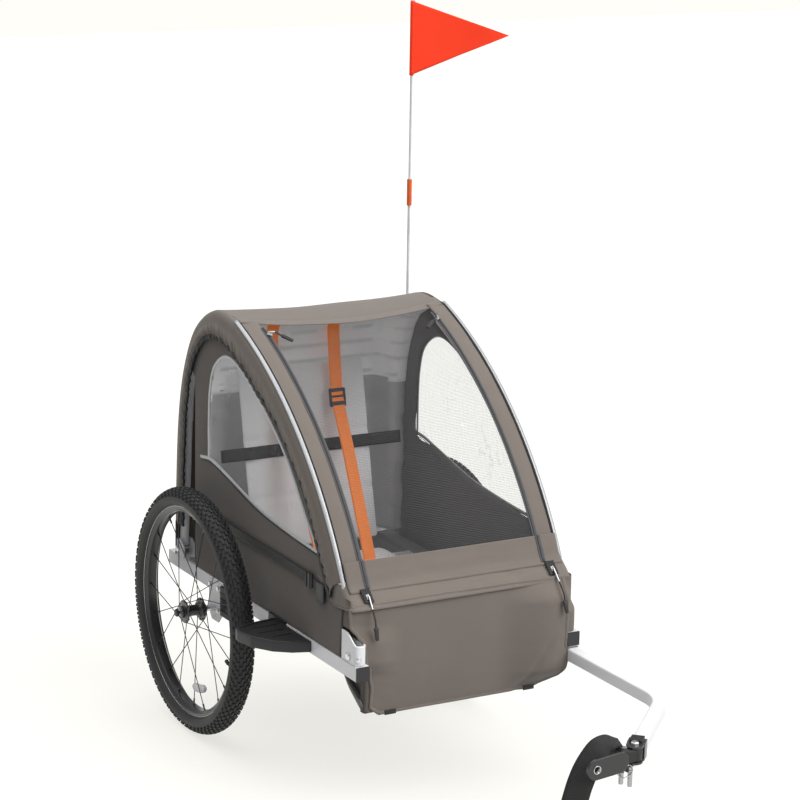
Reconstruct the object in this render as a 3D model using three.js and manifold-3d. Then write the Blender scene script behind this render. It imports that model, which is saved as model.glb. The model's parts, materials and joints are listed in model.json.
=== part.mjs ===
// A two-wheeled child bicycle trailer: a low chassis on 20-inch wheels, a folding
// fabric cabin, a tow arm with a hitch, and a safety flag.
// Millimetres. While it is built, +X is the trailer's left, +Y is its rear, +Z is up,
// Y = 0 is the wheel axis and Z = 0 the ground; the last lines move the origin to the
// bottom centre of the whole object's box.

import * as THREE from "three";
import { mergeVertices } from "three/addons/utils/BufferGeometryUtils.js";
import Module from "manifold-3d";

const wasm = await Module();
wasm.setup();

// ---------------------------------------------------------------- driving dimensions

const GAP = 0.3; // clearance between faces that touch

const WHEEL_RADIUS = 250; // 20 x 1.75 tyre
const TYRE_WIDTH = 46;
const WHEEL_X = 292; // middle plane of each wheel
const WHEEL_FACETS = 40;
const SPOKES = 20;

const RAIL_OUTER = 240; // outer face of each side rail
const RAIL_SIZE = 27;
const RAIL_TOP = 308;
const RAIL_BOTTOM = RAIL_TOP - RAIL_SIZE;
const RAIL_INNER = RAIL_OUTER - RAIL_SIZE;
const TUBE_WALL = 2;
const CROSS_TUBE_SIZE = 24;
const CROSS_TUBE_Z = 294;
const BEYOND = 300; // drills and cutters reach past the part on both sides
const RAIL_FRONT = -595;
const RAIL_REAR = 231;

const FRAME_TUBE = 9.5; // radius of the cabin's bent tubes
const HOOP_X = 226; // side tubes of the rear hoop
const ARC_X = 205; // front arcs fold down inside the hoop
const HOOP_PIVOT = [186, 322]; // y, z
const ARC_PIVOT = [-566, 322];
const BOLT_RADIUS = 4;
const LUG_RADIUS = 10; // flattened tube ends that turn on the bolts
const LUG_HALF_WIDTH = 9;
const BRACKET_INNER = 192.5; // inner cheek of each front bracket
const EAR_INNER = 212.3; // inner ear of each rear bracket

const ARCH_CENTRE = [216, 65]; // the cabin's front is an arc of a circle
const COVER_RADIUS = 835;
const ARC_RADIUS = 821;
const ARCH_TOP = 110.8; // degrees about the arch centre
const ARCH_FOOT = 152.6;

const FABRIC = 3;
const HOOD_X = 243;
const PANEL_X = 238;

const ARM_X = 228;
const ARM_SIZE = 25;
const ARM_Z = 262.5;
const ARM_PIVOT_Y = -490;
const ARM_END = [57, -1062];

const FLAG_X = 252;
const FLAG_Y = 112;
const POLE_RADIUS = 3;
const FLAG_TOP = 1440;

// ---------------------------------------------------------------- materials

const paint = (color, roughness, metalness = 0) =>
  new THREE.MeshStandardMaterial({ color, roughness, metalness });

const white = paint(0xf0f0f2, 0.35, 0.2);
const blackPlastic = paint(0x1b1b1c, 0.5);
const rubber = paint(0x161616, 0.85);
const blackMetal = paint(0x141414, 0.35, 0.6);
const steel = paint(0xb9bcc0, 0.3, 1);
const taupe = paint(0x7d746d, 0.85);
const meshCloth = paint(0x3a3b3c, 0.8);
const clearVinyl = paint(0xd8dde0, 0.15);
const greyCloth = paint(0x969696, 0.9);
const orangeWeb = paint(0xe65a1e, 0.7);
const flagCloth = paint(0xff4b1e, 0.7);

// ---------------------------------------------------------------- small helpers

const deg = (angle) => (angle * Math.PI) / 180;
const trailer = new THREE.Group();

function toSolid(geometry) {
  const plain = geometry.clone();
  plain.deleteAttribute("normal");
  plain.deleteAttribute("uv");
  const merged = mergeVertices(plain, 1e-4);
  return new wasm.Manifold(
    new wasm.Mesh({
      numProp: 3,
      vertProperties: new Float32Array(merged.attributes.position.array),
      triVerts: new Uint32Array(merged.index.array),
    }),
  );
}

function toGeometry(solid) {
  const { vertProperties, triVerts } = solid.getMesh();
  const geometry = new THREE.BufferGeometry();
  geometry.setAttribute("position", new THREE.BufferAttribute(vertProperties, 3));
  geometry.setIndex(new THREE.BufferAttribute(triVerts, 1));
  return geometry;
}

function join(...geometries) {
  const [first, ...rest] = geometries.map(toSolid);
  return toGeometry(rest.reduce((sum, item) => sum.add(item), first));
}

function cut(geometry, ...tools) {
  return toGeometry(tools.map(toSolid).reduce((sum, item) => sum.subtract(item), toSolid(geometry)));
}

function add(name, geometry, material) {
  const mesh = new THREE.Mesh(geometry, material);
  mesh.name = name;
  trailer.add(mesh);
  return mesh;
}

// Side is -1 on the trailer's right and +1 on its left.
const SIDES = [
  [-1, "right"],
  [1, "left"],
];

function box([x0, x1], [y0, y1], [z0, z1]) {
  const geometry = new THREE.BoxGeometry(x1 - x0, y1 - y0, z1 - z0);
  return geometry.translate((x0 + x1) / 2, (y0 + y1) / 2, (z0 + z1) / 2);
}

// Puts a range given outwards from the middle plane onto one side.
const outward = (side, inner, outer) => (side > 0 ? [inner, outer] : [-outer, -inner]);

const outline = (points) => new THREE.Shape(points.map(([u, v]) => new THREE.Vector2(u, v)));

function extrude(shape, depth) {
  return new THREE.ExtrudeGeometry(shape, { depth, bevelEnabled: false, curveSegments: 8 });
}

// A plate whose outline is in y, z, between two x values.
function plateX(points, [x0, x1]) {
  const basis = new THREE.Matrix4().makeBasis(
    new THREE.Vector3(0, 1, 0),
    new THREE.Vector3(0, 0, 1),
    new THREE.Vector3(1, 0, 0),
  );
  return extrude(outline(points), x1 - x0).applyMatrix4(basis).translate(x0, 0, 0);
}

// A plate whose outline is in x, z, between two y values.
function plateY(points, [y0, y1]) {
  const basis = new THREE.Matrix4().makeBasis(
    new THREE.Vector3(1, 0, 0),
    new THREE.Vector3(0, 0, 1),
    new THREE.Vector3(0, -1, 0),
  );
  return extrude(outline(points), y1 - y0).applyMatrix4(basis).translate(0, y1, 0);
}

// A plate whose outline is in x, y, between two z values.
const plateZ = (points, [z0, z1]) => extrude(outline(points), z1 - z0).translate(0, 0, z0);

function rod(from, to, radius, sides = 16) {
  const start = new THREE.Vector3(...from);
  const end = new THREE.Vector3(...to);
  const along = end.clone().sub(start);
  const geometry = new THREE.CylinderGeometry(radius, radius, along.length(), sides);
  const turn = new THREE.Quaternion();
  turn.setFromUnitVectors(new THREE.Vector3(0, 1, 0), along.clone().normalize());
  geometry.applyQuaternion(turn);
  return geometry.translate(...start.add(end).multiplyScalar(0.5).toArray());
}

// A ring about the X axis: its profile lists radius and x, anticlockwise.
function ringX(profile, x, y, z, segments) {
  const points = [...profile, profile[0]].map(([r, along]) => new THREE.Vector2(r, along));
  return new THREE.LatheGeometry(points, segments).rotateZ(-Math.PI / 2).translate(x, y, z);
}

function roundTube(points, radius, steps, sides = 10) {
  const corners = Array.from({ length: sides }, (_, i) => {
    const angle = (2 * Math.PI * i) / sides;
    return [radius * Math.cos(angle), radius * Math.sin(angle)];
  });
  const path = new THREE.CatmullRomCurve3(points.map((p) => new THREE.Vector3(...p)));
  return new THREE.ExtrudeGeometry(outline(corners), {
    extrudePath: path,
    steps,
    bevelEnabled: false,
  });
}

function arcPoints([cy, cz], radius, from, to, count) {
  return Array.from({ length: count + 1 }, (_, i) => {
    const angle = deg(from + ((to - from) * i) / count);
    return [cy + radius * Math.cos(angle), cz + radius * Math.sin(angle)];
  });
}

function spline(points, count) {
  const curve = new THREE.SplineCurve(points.map(([u, v]) => new THREE.Vector2(u, v)));
  return curve.getPoints(count).map((p) => [p.x, p.y]);
}

// The outline of a strip of even thickness that lies on the left of an open line.
function strip(line, thickness) {
  const inner = line.map((point, i) => {
    const before = line[Math.max(i - 1, 0)];
    const after = line[Math.min(i + 1, line.length - 1)];
    const du = after[0] - before[0];
    const dv = after[1] - before[1];
    const length = Math.hypot(du, dv);
    return [point[0] - (dv / length) * thickness, point[1] + (du / length) * thickness];
  });
  return [...line, ...inner.reverse()];
}

// ---------------------------------------------------------------- chassis

function squareTube(size, wall, length) {
  const half = size / 2;
  const inside = half - wall;
  const square = (h) => outline([[-h, -h], [h, -h], [h, h], [-h, h]]);
  const shape = square(half);
  shape.holes.push(square(inside));
  return extrude(shape, length);
}

function buildRails() {
  const length = RAIL_REAR - RAIL_FRONT;
  for (const [side, word] of SIDES) {
    const tube = squareTube(RAIL_SIZE, TUBE_WALL, length).rotateX(-Math.PI / 2);
    tube.translate(side * (RAIL_OUTER - RAIL_SIZE / 2), RAIL_FRONT, RAIL_TOP - RAIL_SIZE / 2);
    add(`${word}_side_rail`, tube, white);
    const capBack = RAIL_FRONT - GAP;
    const cap = box(
      outward(side, RAIL_INNER, RAIL_OUTER),
      [capBack - 3, capBack],
      [RAIL_BOTTOM, RAIL_TOP],
    );
    add(`${word}_rail_end_cap`, cap, blackPlastic);
  }
  const reach = RAIL_INNER - GAP;
  const places = { front_cross_tube: -548, axle_cross_tube: 0, rear_cross_tube: 205 };
  for (const [name, y] of Object.entries(places)) {
    const tube = squareTube(CROSS_TUBE_SIZE, TUBE_WALL, 2 * reach).rotateY(Math.PI / 2);
    add(name, tube.translate(-reach, y, CROSS_TUBE_Z), white);
  }
}

function buildPivotBolt(name, side, [y, z], outerFace, innerFace) {
  const head = outerFace + GAP;
  const nut = innerFace - GAP;
  const shaft = [
    [0, nut - 4],
    [6.5, nut - 4],
    [6.5, nut],
    [BOLT_RADIUS, nut],
    [BOLT_RADIUS, head],
    [7, head],
    [7, head + 2],
    [5, head + 4],
    [0, head + 4],
  ];
  const points = shaft.map(([r, along]) => new THREE.Vector2(r, along));
  const bolt = new THREE.LatheGeometry(points, 16).rotateZ((-side * Math.PI) / 2);
  add(name, bolt.translate(0, y, z), steel);
}

function buildBrackets() {
  const base = RAIL_TOP + GAP;
  const hole = (pivot) => rod([-BEYOND, ...pivot], [BEYOND, ...pivot], BOLT_RADIUS + GAP);
  for (const [side, word] of SIDES) {
    const cheek = [[-592, base], [-538, base], [-538, 366], [-575, 366], [-592, 345]];
    const floor = box(outward(side, BRACKET_INNER, RAIL_OUTER), [-592, -538], [base, base + 2.5]);
    const spacer = outward(side, 215.3, 239);
    const front = join(
      floor,
      plateX(cheek, outward(side, 237.5, RAIL_OUTER)),
      plateX(cheek, outward(side, BRACKET_INNER, BRACKET_INNER + 2.5)),
      rod([spacer[0], ...ARC_PIVOT], [spacer[1], ...ARC_PIVOT], 7),
    );
    add(`${word}_front_bracket`, cut(front, hole(ARC_PIVOT)), white);
    buildPivotBolt(`${word}_arc_pivot_bolt`, side, ARC_PIVOT, RAIL_OUTER, BRACKET_INNER);

    const ear = [[158, base], [199, base], [199, 335], [190, 344], [174, 344], [158, 330]];
    const rear = join(
      box(outward(side, EAR_INNER, RAIL_OUTER), [158, 199], [base, base + 2.5]),
      plateX(ear, outward(side, 237, RAIL_OUTER)),
      plateX(ear, outward(side, EAR_INNER, EAR_INNER + 2.7)),
    );
    add(`${word}_rear_bracket`, cut(rear, hole(HOOP_PIVOT)), white);
    buildPivotBolt(`${word}_hoop_pivot_bolt`, side, HOOP_PIVOT, RAIL_OUTER, EAR_INNER);
  }
}

const AXLE_RADIUS = 6;

function buildAxlePlates() {
  for (const [side, word] of SIDES) {
    const plateInner = RAIL_OUTER + GAP;
    const shape = [[-30, 304], [-30, 238], [-16, 222], [14, 222], [28, 238], [28, 304]];
    const tube = outward(side, 216, plateInner + 1);
    const solid = join(
      plateX(shape, outward(side, plateInner, plateInner + 3)),
      rod([tube[0], 0, WHEEL_RADIUS], [tube[1], 0, WHEEL_RADIUS], 11),
    );
    const bore = rod([-BEYOND, 0, WHEEL_RADIUS], [BEYOND, 0, WHEEL_RADIUS], AXLE_RADIUS + GAP);
    add(`${word}_axle_plate`, cut(solid, bore), white);
  }
}

function buildWheelGuards() {
  const inner = RAIL_OUTER + GAP;
  const edge = [
    [inner, -262],
    [300, -270],
    [334, -284],
    [338, -302],
    [330, -345],
    [305, -385],
    [275, -408],
    [inner, -420],
  ];
  for (const [side, word] of SIDES) {
    const points = edge.map(([x, y]) => [side * x, y]);
    add(`${word}_wheel_guard`, plateZ(points, [284, 306]), blackPlastic);
  }
}

// ---------------------------------------------------------------- wheels

function spokeLace(x) {
  const bandProfile = [[197, -5], [199.6, -5], [199.6, 5], [197, 5]];
  const rimBand = ringX(bandProfile, x, 0, WHEEL_RADIUS, WHEEL_FACETS);
  const pieces = [rimBand];
  const point = (radius, angle, along) => [
    x + along,
    radius * Math.cos(deg(angle)),
    WHEEL_RADIUS + radius * Math.sin(deg(angle)),
  ];
  for (let i = 0; i < SPOKES; i += 1) {
    const angle = (360 / SPOKES) * i;
    const flange = i % 2 ? 18 : -18;
    const lead = Math.floor(i / 2) % 2 ? 40 : -40;
    pieces.push(rod(point(24.5, angle + lead, flange), point(198.4, angle, 0), 1.1, 4));
  }
  return join(...pieces);
}

function buildWheels() {
  for (const [side, word] of SIDES) {
    const x = side * WHEEL_X;
    const half = TYRE_WIDTH / 2;
    const tyreProfile = [
      [206.3, -10],
      [215, -11.3],
      [228, -half],
      [242, -19],
      [WHEEL_RADIUS, -6],
      [WHEEL_RADIUS, 6],
      [242, 19],
      [228, half],
      [215, 11.3],
      [206.3, 10],
    ];
    const rimProfile = [
      [200, -9],
      [203, -13.5],
      [214, -13.5],
      [214, -11.8],
      [206, -11.8],
      [206, 11.8],
      [214, 11.8],
      [214, 13.5],
      [203, 13.5],
      [200, 9],
    ];
    const hubProfile = [
      [AXLE_RADIUS + GAP, -27],
      [13, -27],
      [14, -20],
      [23.5, -19.5],
      [23.5, -16.5],
      [13, -14],
      [13, 14],
      [23.5, 16.5],
      [23.5, 19.5],
      [14, 20],
      [13, 27],
      [AXLE_RADIUS + GAP, 27],
    ];
    add(`${word}_tyre`, ringX(tyreProfile, x, 0, WHEEL_RADIUS, WHEEL_FACETS), rubber);
    add(`${word}_rim`, ringX(rimProfile, x, 0, WHEEL_RADIUS, WHEEL_FACETS), blackMetal);
    add(`${word}_spokes`, spokeLace(x), steel);
    add(`${word}_hub`, ringX(hubProfile, x, 0, WHEEL_RADIUS, 20), blackMetal);

    const axle = outward(side, 217, 321);
    const socket = outward(side, 311, 330);
    const axleRod = rod([axle[0], 0, WHEEL_RADIUS], [axle[1], 0, WHEEL_RADIUS], AXLE_RADIUS);
    const socketRod = rod([socket[0], 0, WHEEL_RADIUS], [socket[1], 0, WHEEL_RADIUS], 3.5);
    add(`${word}_axle`, cut(axleRod, socketRod), steel);
    const button = [[0, 315], [3, 315], [3, 324.5], [8, 324.5], [8, 328], [6, 330], [0, 330]];
    const points = button.map(([r, along]) => new THREE.Vector2(r, along));
    const knob = new THREE.LatheGeometry(points, 20).rotateZ((-side * Math.PI) / 2);
    add(`${word}_axle_button`, knob.translate(0, 0, WHEEL_RADIUS), blackPlastic);
  }
}

// ---------------------------------------------------------------- folding cabin frame

function buildRearHoop() {
  const sideLine = [
    [HOOP_X, HOOP_PIVOT[0] - 1, HOOP_PIVOT[1] + 8],
    [HOOP_X, 173, 480],
    [HOOP_X, 160, 640],
    [HOOP_X, 146, 710],
    [HOOP_X, 116, 768],
    [HOOP_X, 72, 811],
    [HOOP_X - 6, 38, 829],
    [HOOP_X - 26, 20, 835],
    [HOOP_X - 66, 17, 836],
  ];
  const right = sideLine.map(([x, y, z]) => [-x, y, z]);
  const left = [...sideLine].reverse();
  const tube = roundTube([...right, ...left], FRAME_TUBE, 60);
  const lug = (side) => {
    const [x0, x1] = outward(side, HOOP_X - LUG_HALF_WIDTH, HOOP_X + LUG_HALF_WIDTH);
    return rod([x0, ...HOOP_PIVOT], [x1, ...HOOP_PIVOT], LUG_RADIUS);
  };
  const bolt = rod([-BEYOND, ...HOOP_PIVOT], [BEYOND, ...HOOP_PIVOT], BOLT_RADIUS + GAP);
  const buttonY = 162.5;
  const buttonZ = 615;
  const buttonHole = (side) => {
    const [x0, x1] = outward(side, 230, 250);
    return rod([x0, buttonY, buttonZ], [x1, buttonY, buttonZ], 3.5, 12);
  };
  const solid = join(tube, lug(-1), lug(1));
  add("rear_hoop", cut(solid, bolt, buttonHole(-1), buttonHole(1)), white);
  for (const [side, word] of SIDES) {
    const [x0, x1] = outward(side, 233.5, 238.5);
    const button = rod([x0, buttonY, buttonZ], [x1, buttonY, buttonZ], 3.2, 12);
    add(`${word}_push_button`, button, steel);
  }
}

function buildFrontArcs() {
  const footSine = (ARC_PIVOT[1] - ARCH_CENTRE[1]) / ARC_RADIUS;
  const footAngle = 180 - (Math.asin(footSine) * 180) / Math.PI;
  const topAngle = 113;
  for (const [side, word] of SIDES) {
    const line = arcPoints(ARCH_CENTRE, ARC_RADIUS, footAngle - 0.6, topAngle, 12);
    const tube = roundTube(line.map(([y, z]) => [side * ARC_X, y, z]), FRAME_TUBE, 24);
    const [x0, x1] = outward(side, ARC_X - LUG_HALF_WIDTH, ARC_X + LUG_HALF_WIDTH);
    const lug = rod([x0, ...ARC_PIVOT], [x1, ...ARC_PIVOT], LUG_RADIUS);
    const bolt = rod([-BEYOND, ...ARC_PIVOT], [BEYOND, ...ARC_PIVOT], BOLT_RADIUS + GAP);
    add(`${word}_front_arc`, cut(join(tube, lug), bolt), white);
  }
}

// ---------------------------------------------------------------- cabin fabric

const roofLine = () => [
  [205, 309],
  ...spline([[202, 440], [189, 600], [160, 715], [105, 805], [17, 853], [-80.5, 847]], 16),
];

// The edge of the hood's side opening, from its front foot over the top to the rear.
const openingEdge = () => {
  const rising = [[-500, 432], [-397, 565], [-270, 691], [-140, 774], [-37, 810]];
  const falling = [[51, 787], [114, 695], [139, 544], [148, 380]];
  return spline([...rising, ...falling], 24);
};

function buildHood() {
  const sheet = plateX(strip(roofLine(), FABRIC), [-HOOD_X, HOOD_X]);
  const rim = [
    [203.5, 380],
    ...roofLine().slice(1),
    ...arcPoints(ARCH_CENTRE, COVER_RADIUS, ARCH_TOP + 0.4, ARCH_FOOT, 14),
    ...openingEdge(),
  ];
  const [right, left] = SIDES.map(([side]) => plateX(rim, outward(side, HOOD_X - FABRIC, HOOD_X)));
  add("hood", join(sheet, right, left), taupe);
}

const windowEdge = () => [
  ...spline([[37, 548], [37, 629], [32, 691], [12, 742], [-42, 779], [-109, 773]], 12),
  ...spline([[-109, 773], [-219, 716], [-326, 622], [-410, 518], [-439, 483]], 10).slice(1),
  ...spline([[-439, 483], [-311, 492], [-182, 506], [-47, 536], [37, 548]], 8).slice(1, -1),
];

function buildSides() {
  const rear = [[134, 544], [108, 692], [48, 780]];
  const front = [[-37, 803], [-137, 766], [-392, 559], [-490, 432]];
  const edge = [
    [145, 309],
    [142, 400],
    ...spline([...rear, ...front], 18),
    [-540, 415],
    [-560, 390],
    [-533, 372],
    [-533, 309],
  ];
  for (const [side, word] of SIDES) {
    const panel = plateX(edge, outward(side, PANEL_X - 2, PANEL_X));
    const hole = plateX(windowEdge(), [-BEYOND, BEYOND]);
    add(`${word}_side_panel`, cut(panel, hole), taupe);
    const pane = plateX(windowEdge(), outward(side, PANEL_X - 3.3, PANEL_X - 2.3));
    add(`${word}_side_window`, pane, clearVinyl);
  }
}

function buildFront() {
  const arch = arcPoints(ARCH_CENTRE, COVER_RADIUS, ARCH_TOP + 0.6, ARCH_FOOT, 14);
  const halfWidth = PANEL_X - 4.5;
  const cover = plateX(strip([...arch, [-560, 415]], 2.2), [-halfWidth, halfWidth]);
  add("front_cover", cover, meshCloth);

  const half = 186;
  const apron = [[-half, 410], [-half, 245], [-150, 201], [150, 201], [half, 245], [half, 410]];
  add("front_panel", plateY(apron, [-567, -564.3]), taupe);
}

function buildFloorTub() {
  const halfWidth = RAIL_INNER - 1;
  const floorLine = [[222, 277.5], [-425, 277.5], [-552, 203], [-563.5, 203], [-563.5, 280]];
  const inner = [[-560.5, 280], [-560.5, 206], [-551, 206], [-424, 280.5], [222, 280.5]];
  const wall = [[-424, 280], [-424, 277.7], [-552, 203.2], [-563.3, 203.2], [-563.3, 280]];
  const floor = plateX([...floorLine, ...inner], [-halfWidth, halfWidth]);
  const [right, left] = SIDES.map(([side]) =>
    plateX(wall, outward(side, halfWidth - FABRIC, halfWidth)),
  );
  add("floor_tub", join(floor, right, left), taupe);
}

function buildSeat() {
  add("seat_base", box([-160, 160], [-215, 16], [309, 327]), blackPlastic);
  const back = [[22, 329], [34, 329], [117, 722], [105, 722]];
  add("seat_back", plateX(back, [-157, 157]), greyCloth);
  const web = [[16.5, 330], [19, 330], [102, 722], [99.5, 722]];
  for (const [side, word] of SIDES) {
    add(`${word}_shoulder_strap`, plateX(web, outward(side, 49, 77)), orangeWeb);
  }
}

// ---------------------------------------------------------------- tow arm and hitch

function buildTowReceiver() {
  const span = [-592, -460];
  const depth = [245, RAIL_BOTTOM - GAP];
  const channel = join(
    box([212.3, 244.3], span, [depth[1] - 3.2, depth[1]]),
    box([212.3, 214.9], span, depth),
    box([241.3, 244.3], span, depth),
    rod([213, ARM_PIVOT_Y, ARM_Z], [243, ARM_PIVOT_Y, ARM_Z], 5),
  );
  const plungerY = -560;
  const hole = rod([235, plungerY, ARM_Z], [260, plungerY, ARM_Z], BOLT_RADIUS + GAP);
  add("tow_arm_receiver", cut(channel, hole), white);

  const knob = [[0, 240.8], [4, 240.8], [4, 252], [8, 252], [8, 260], [6, 262], [0, 262]];
  const points = knob.map(([r, along]) => new THREE.Vector2(r, along));
  const plunger = new THREE.LatheGeometry(points, 16).rotateZ(-Math.PI / 2);
  add("tow_lock_plunger", plunger.translate(0, plungerY, ARM_Z), blackPlastic);
}

const KING_PIN = 20; // distance of the vertical hitch bolt in front of the arm's end
const hitchPivot = [ARM_END[0] - KING_PIN * Math.SQRT1_2, ARM_END[1] - KING_PIN * Math.SQRT1_2];

function buildTowArm() {
  const half = ARM_SIZE / 2;
  const chamfer = 3;
  const section = outline([
    [-half + chamfer, -half],
    [half - chamfer, -half],
    [half, -half + chamfer],
    [half, half - chamfer],
    [half - chamfer, half],
    [-half + chamfer, half],
    [-half, half - chamfer],
    [-half, -half + chamfer],
  ]);
  const cornerY = ARM_END[1] + (ARM_X - ARM_END[0]);
  const reach = 42; // from the corner to each end of the bend
  const at = (x, y) => new THREE.Vector3(x, y, ARM_Z);
  const bendStart = at(ARM_X, cornerY + reach);
  const bendEnd = at(ARM_X - reach * Math.SQRT1_2, cornerY - reach * Math.SQRT1_2);
  const path = new THREE.CurvePath();
  path.add(new THREE.LineCurve3(at(ARM_X, ARM_PIVOT_Y), bendStart));
  path.add(new THREE.QuadraticBezierCurve3(bendStart, at(ARM_X, cornerY), bendEnd));
  path.add(new THREE.LineCurve3(bendEnd, at(...ARM_END)));
  const tube = new THREE.ExtrudeGeometry(section, {
    extrudePath: path,
    steps: 40,
    bevelEnabled: false,
  });
  const lug = rod([ARM_X - half, ARM_PIVOT_Y, ARM_Z], [ARM_X + half, ARM_PIVOT_Y, ARM_Z], half);
  const bore = rod([ARM_X - 20, ARM_PIVOT_Y, ARM_Z], [ARM_X + 20, ARM_PIVOT_Y, ARM_Z], 5 + GAP);

  const hitchPlate = ([z0, z1]) => {
    const plate = box([-26, 30], [-11, 11], [z0, z1]);
    return plate.rotateZ(deg(225)).translate(...ARM_END, 0);
  };
  const pinAt = (z) => [...hitchPivot, z];
  const arm = join(
    tube,
    lug,
    hitchPlate([274.5, 278.5]),
    hitchPlate([246.5, 250.5]),
    rod(pinAt(241), pinAt(284), BOLT_RADIUS),
    rod(pinAt(278), pinAt(284), 7, 6),
    rod(pinAt(241), pinAt(247), 7, 6),
  );
  add("tow_arm", cut(arm, bore), white);
}

function buildHitch() {
  const [px, py] = hitchPivot;
  const halfDepth = 13;
  const blockZ = [251, 274];
  const pitchX = 9;
  const pinX = 20.5;
  const block = join(
    rod([px, py, blockZ[0]], [px, py, blockZ[1]], 14, 20),
    box([0, px], [py - halfDepth, py + halfDepth], blockZ),
  );
  const flex = cut(
    block,
    rod([px, py, 240], [px, py, 290], BOLT_RADIUS + GAP),
    rod([pinX, py, 240], [pinX, py, 290], 3.5),
    rod([pitchX, py - 20, ARM_Z], [pitchX, py - 1, ARM_Z], BOLT_RADIUS + GAP),
  );
  add("hitch_flex_joint", flex, rubber);

  const face = py - halfDepth - 0.5;
  const thickness = 6;
  const eye = [-45, 255];
  const eyeRadius = 19;
  const tongueEdge = [
    [eye[0], eye[1] - eyeRadius],
    [11, 242],
    [18, 250],
    [18, 270],
    [11, 277],
    [eye[0], eye[1] + eyeRadius],
  ];
  const tongue = join(
    plateY(tongueEdge, [face - thickness, face]),
    rod([eye[0], face - thickness, eye[1]], [eye[0], face, eye[1]], eyeRadius, 24),
    rod([pitchX, face - 2, ARM_Z], [pitchX, py - 3, ARM_Z], BOLT_RADIUS),
  );
  const axleHole = rod([eye[0], face - 20, eye[1]], [eye[0], face + 5, eye[1]], 6.3, 20);
  add("hitch_coupler_plate", cut(tongue, axleHole), blackMetal);

  const pinHead = blockZ[1] + GAP;
  const pinTop = pinHead + 4;
  const pinTip = [[0, 236], [2, 236], [3.2, 238]];
  const pinProfile = [...pinTip, [3.2, pinHead], [6, pinHead], [6, pinTop], [0, pinTop]];
  const points = pinProfile.map(([r, along]) => new THREE.Vector2(r, along));
  const pin = new THREE.LatheGeometry(points, 14).rotateX(Math.PI / 2).translate(pinX, py, 0);
  add("hitch_pin", pin, steel);

  const strapLine = spline([[10, 284], [-18, 299], [-56, 293], [-79, 261], [-84, 217], [-78, 172]], 12);
  const strap = plateY(strip([...strapLine].reverse(), 3), [py - 34, py + 8]);
  add("safety_strap", strap, blackPlastic);
}

// ---------------------------------------------------------------- safety flag

function buildFlag() {
  const grip = 9;
  const socketTop = 340;
  const socket = join(
    rod([FLAG_X, FLAG_Y, 285], [FLAG_X, FLAG_Y, socketTop], grip, 20),
    box([RAIL_OUTER + GAP, FLAG_X], [FLAG_Y - 10, FLAG_Y + 10], [285, 305]),
  );
  const bore = rod([FLAG_X, FLAG_Y, 292], [FLAG_X, FLAG_Y, 400], POLE_RADIUS + GAP, 12);
  add("flag_socket", cut(socket, bore), blackPlastic);

  const joint = 1045;
  const lower = rod([FLAG_X, FLAG_Y, 292 + GAP], [FLAG_X, FLAG_Y, joint - GAP], POLE_RADIUS, 12);
  add("flag_pole_lower", lower, white);
  const sleeve = cut(
    rod([FLAG_X, FLAG_Y, 1018], [FLAG_X, FLAG_Y, 1073], 4.8, 12),
    rod([FLAG_X, FLAG_Y, 1000], [FLAG_X, FLAG_Y, joint], POLE_RADIUS + GAP, 12),
  );
  const upper = rod([FLAG_X, FLAG_Y, joint], [FLAG_X, FLAG_Y, FLAG_TOP], POLE_RADIUS - 0.4, 12);
  add("flag_pole_upper", join(sleeve, upper), flagCloth);

  const hem = FLAG_X + 5;
  const pennant = plateY([[hem - 1, 1287], [FLAG_X + 230, 1362], [hem - 1, FLAG_TOP - 2]], [
    FLAG_Y - 0.8,
    FLAG_Y + 0.8,
  ]);
  const hemTube = rod([FLAG_X, FLAG_Y, 1287], [FLAG_X, FLAG_Y, FLAG_TOP - 2], 5, 12);
  const hemBore = rod([FLAG_X, FLAG_Y, 1200], [FLAG_X, FLAG_Y, FLAG_TOP + 50], POLE_RADIUS, 12);
  add("flag", cut(join(pennant, hemTube), hemBore), flagCloth);
}

// ---------------------------------------------------------------- whole trailer

buildRails();
buildBrackets();
buildAxlePlates();
buildWheelGuards();
buildWheels();
buildRearHoop();
buildFrontArcs();
buildHood();
buildSides();
buildFront();
buildFloorTub();
buildSeat();
buildTowReceiver();
buildTowArm();
buildHitch();
buildFlag();

const bounds = new THREE.Box3().setFromObject(trailer);
const centre = bounds.getCenter(new THREE.Vector3());
trailer.position.set(-centre.x, -centre.y, -bounds.min.z);

export default trailer;
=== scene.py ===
"""The looks of a child bicycle trailer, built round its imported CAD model.

Blender 4.5, metres. Places are given by at() in the trailer's own millimetres: X to the trailer's left
from its middle line, Y back from the wheel axle, Z up from the ground. "Right" is the trailer's right.
"""

import json
import math

import bmesh
import bpy
from mathutils import Matrix, Quaternion, Vector, noise


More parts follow.
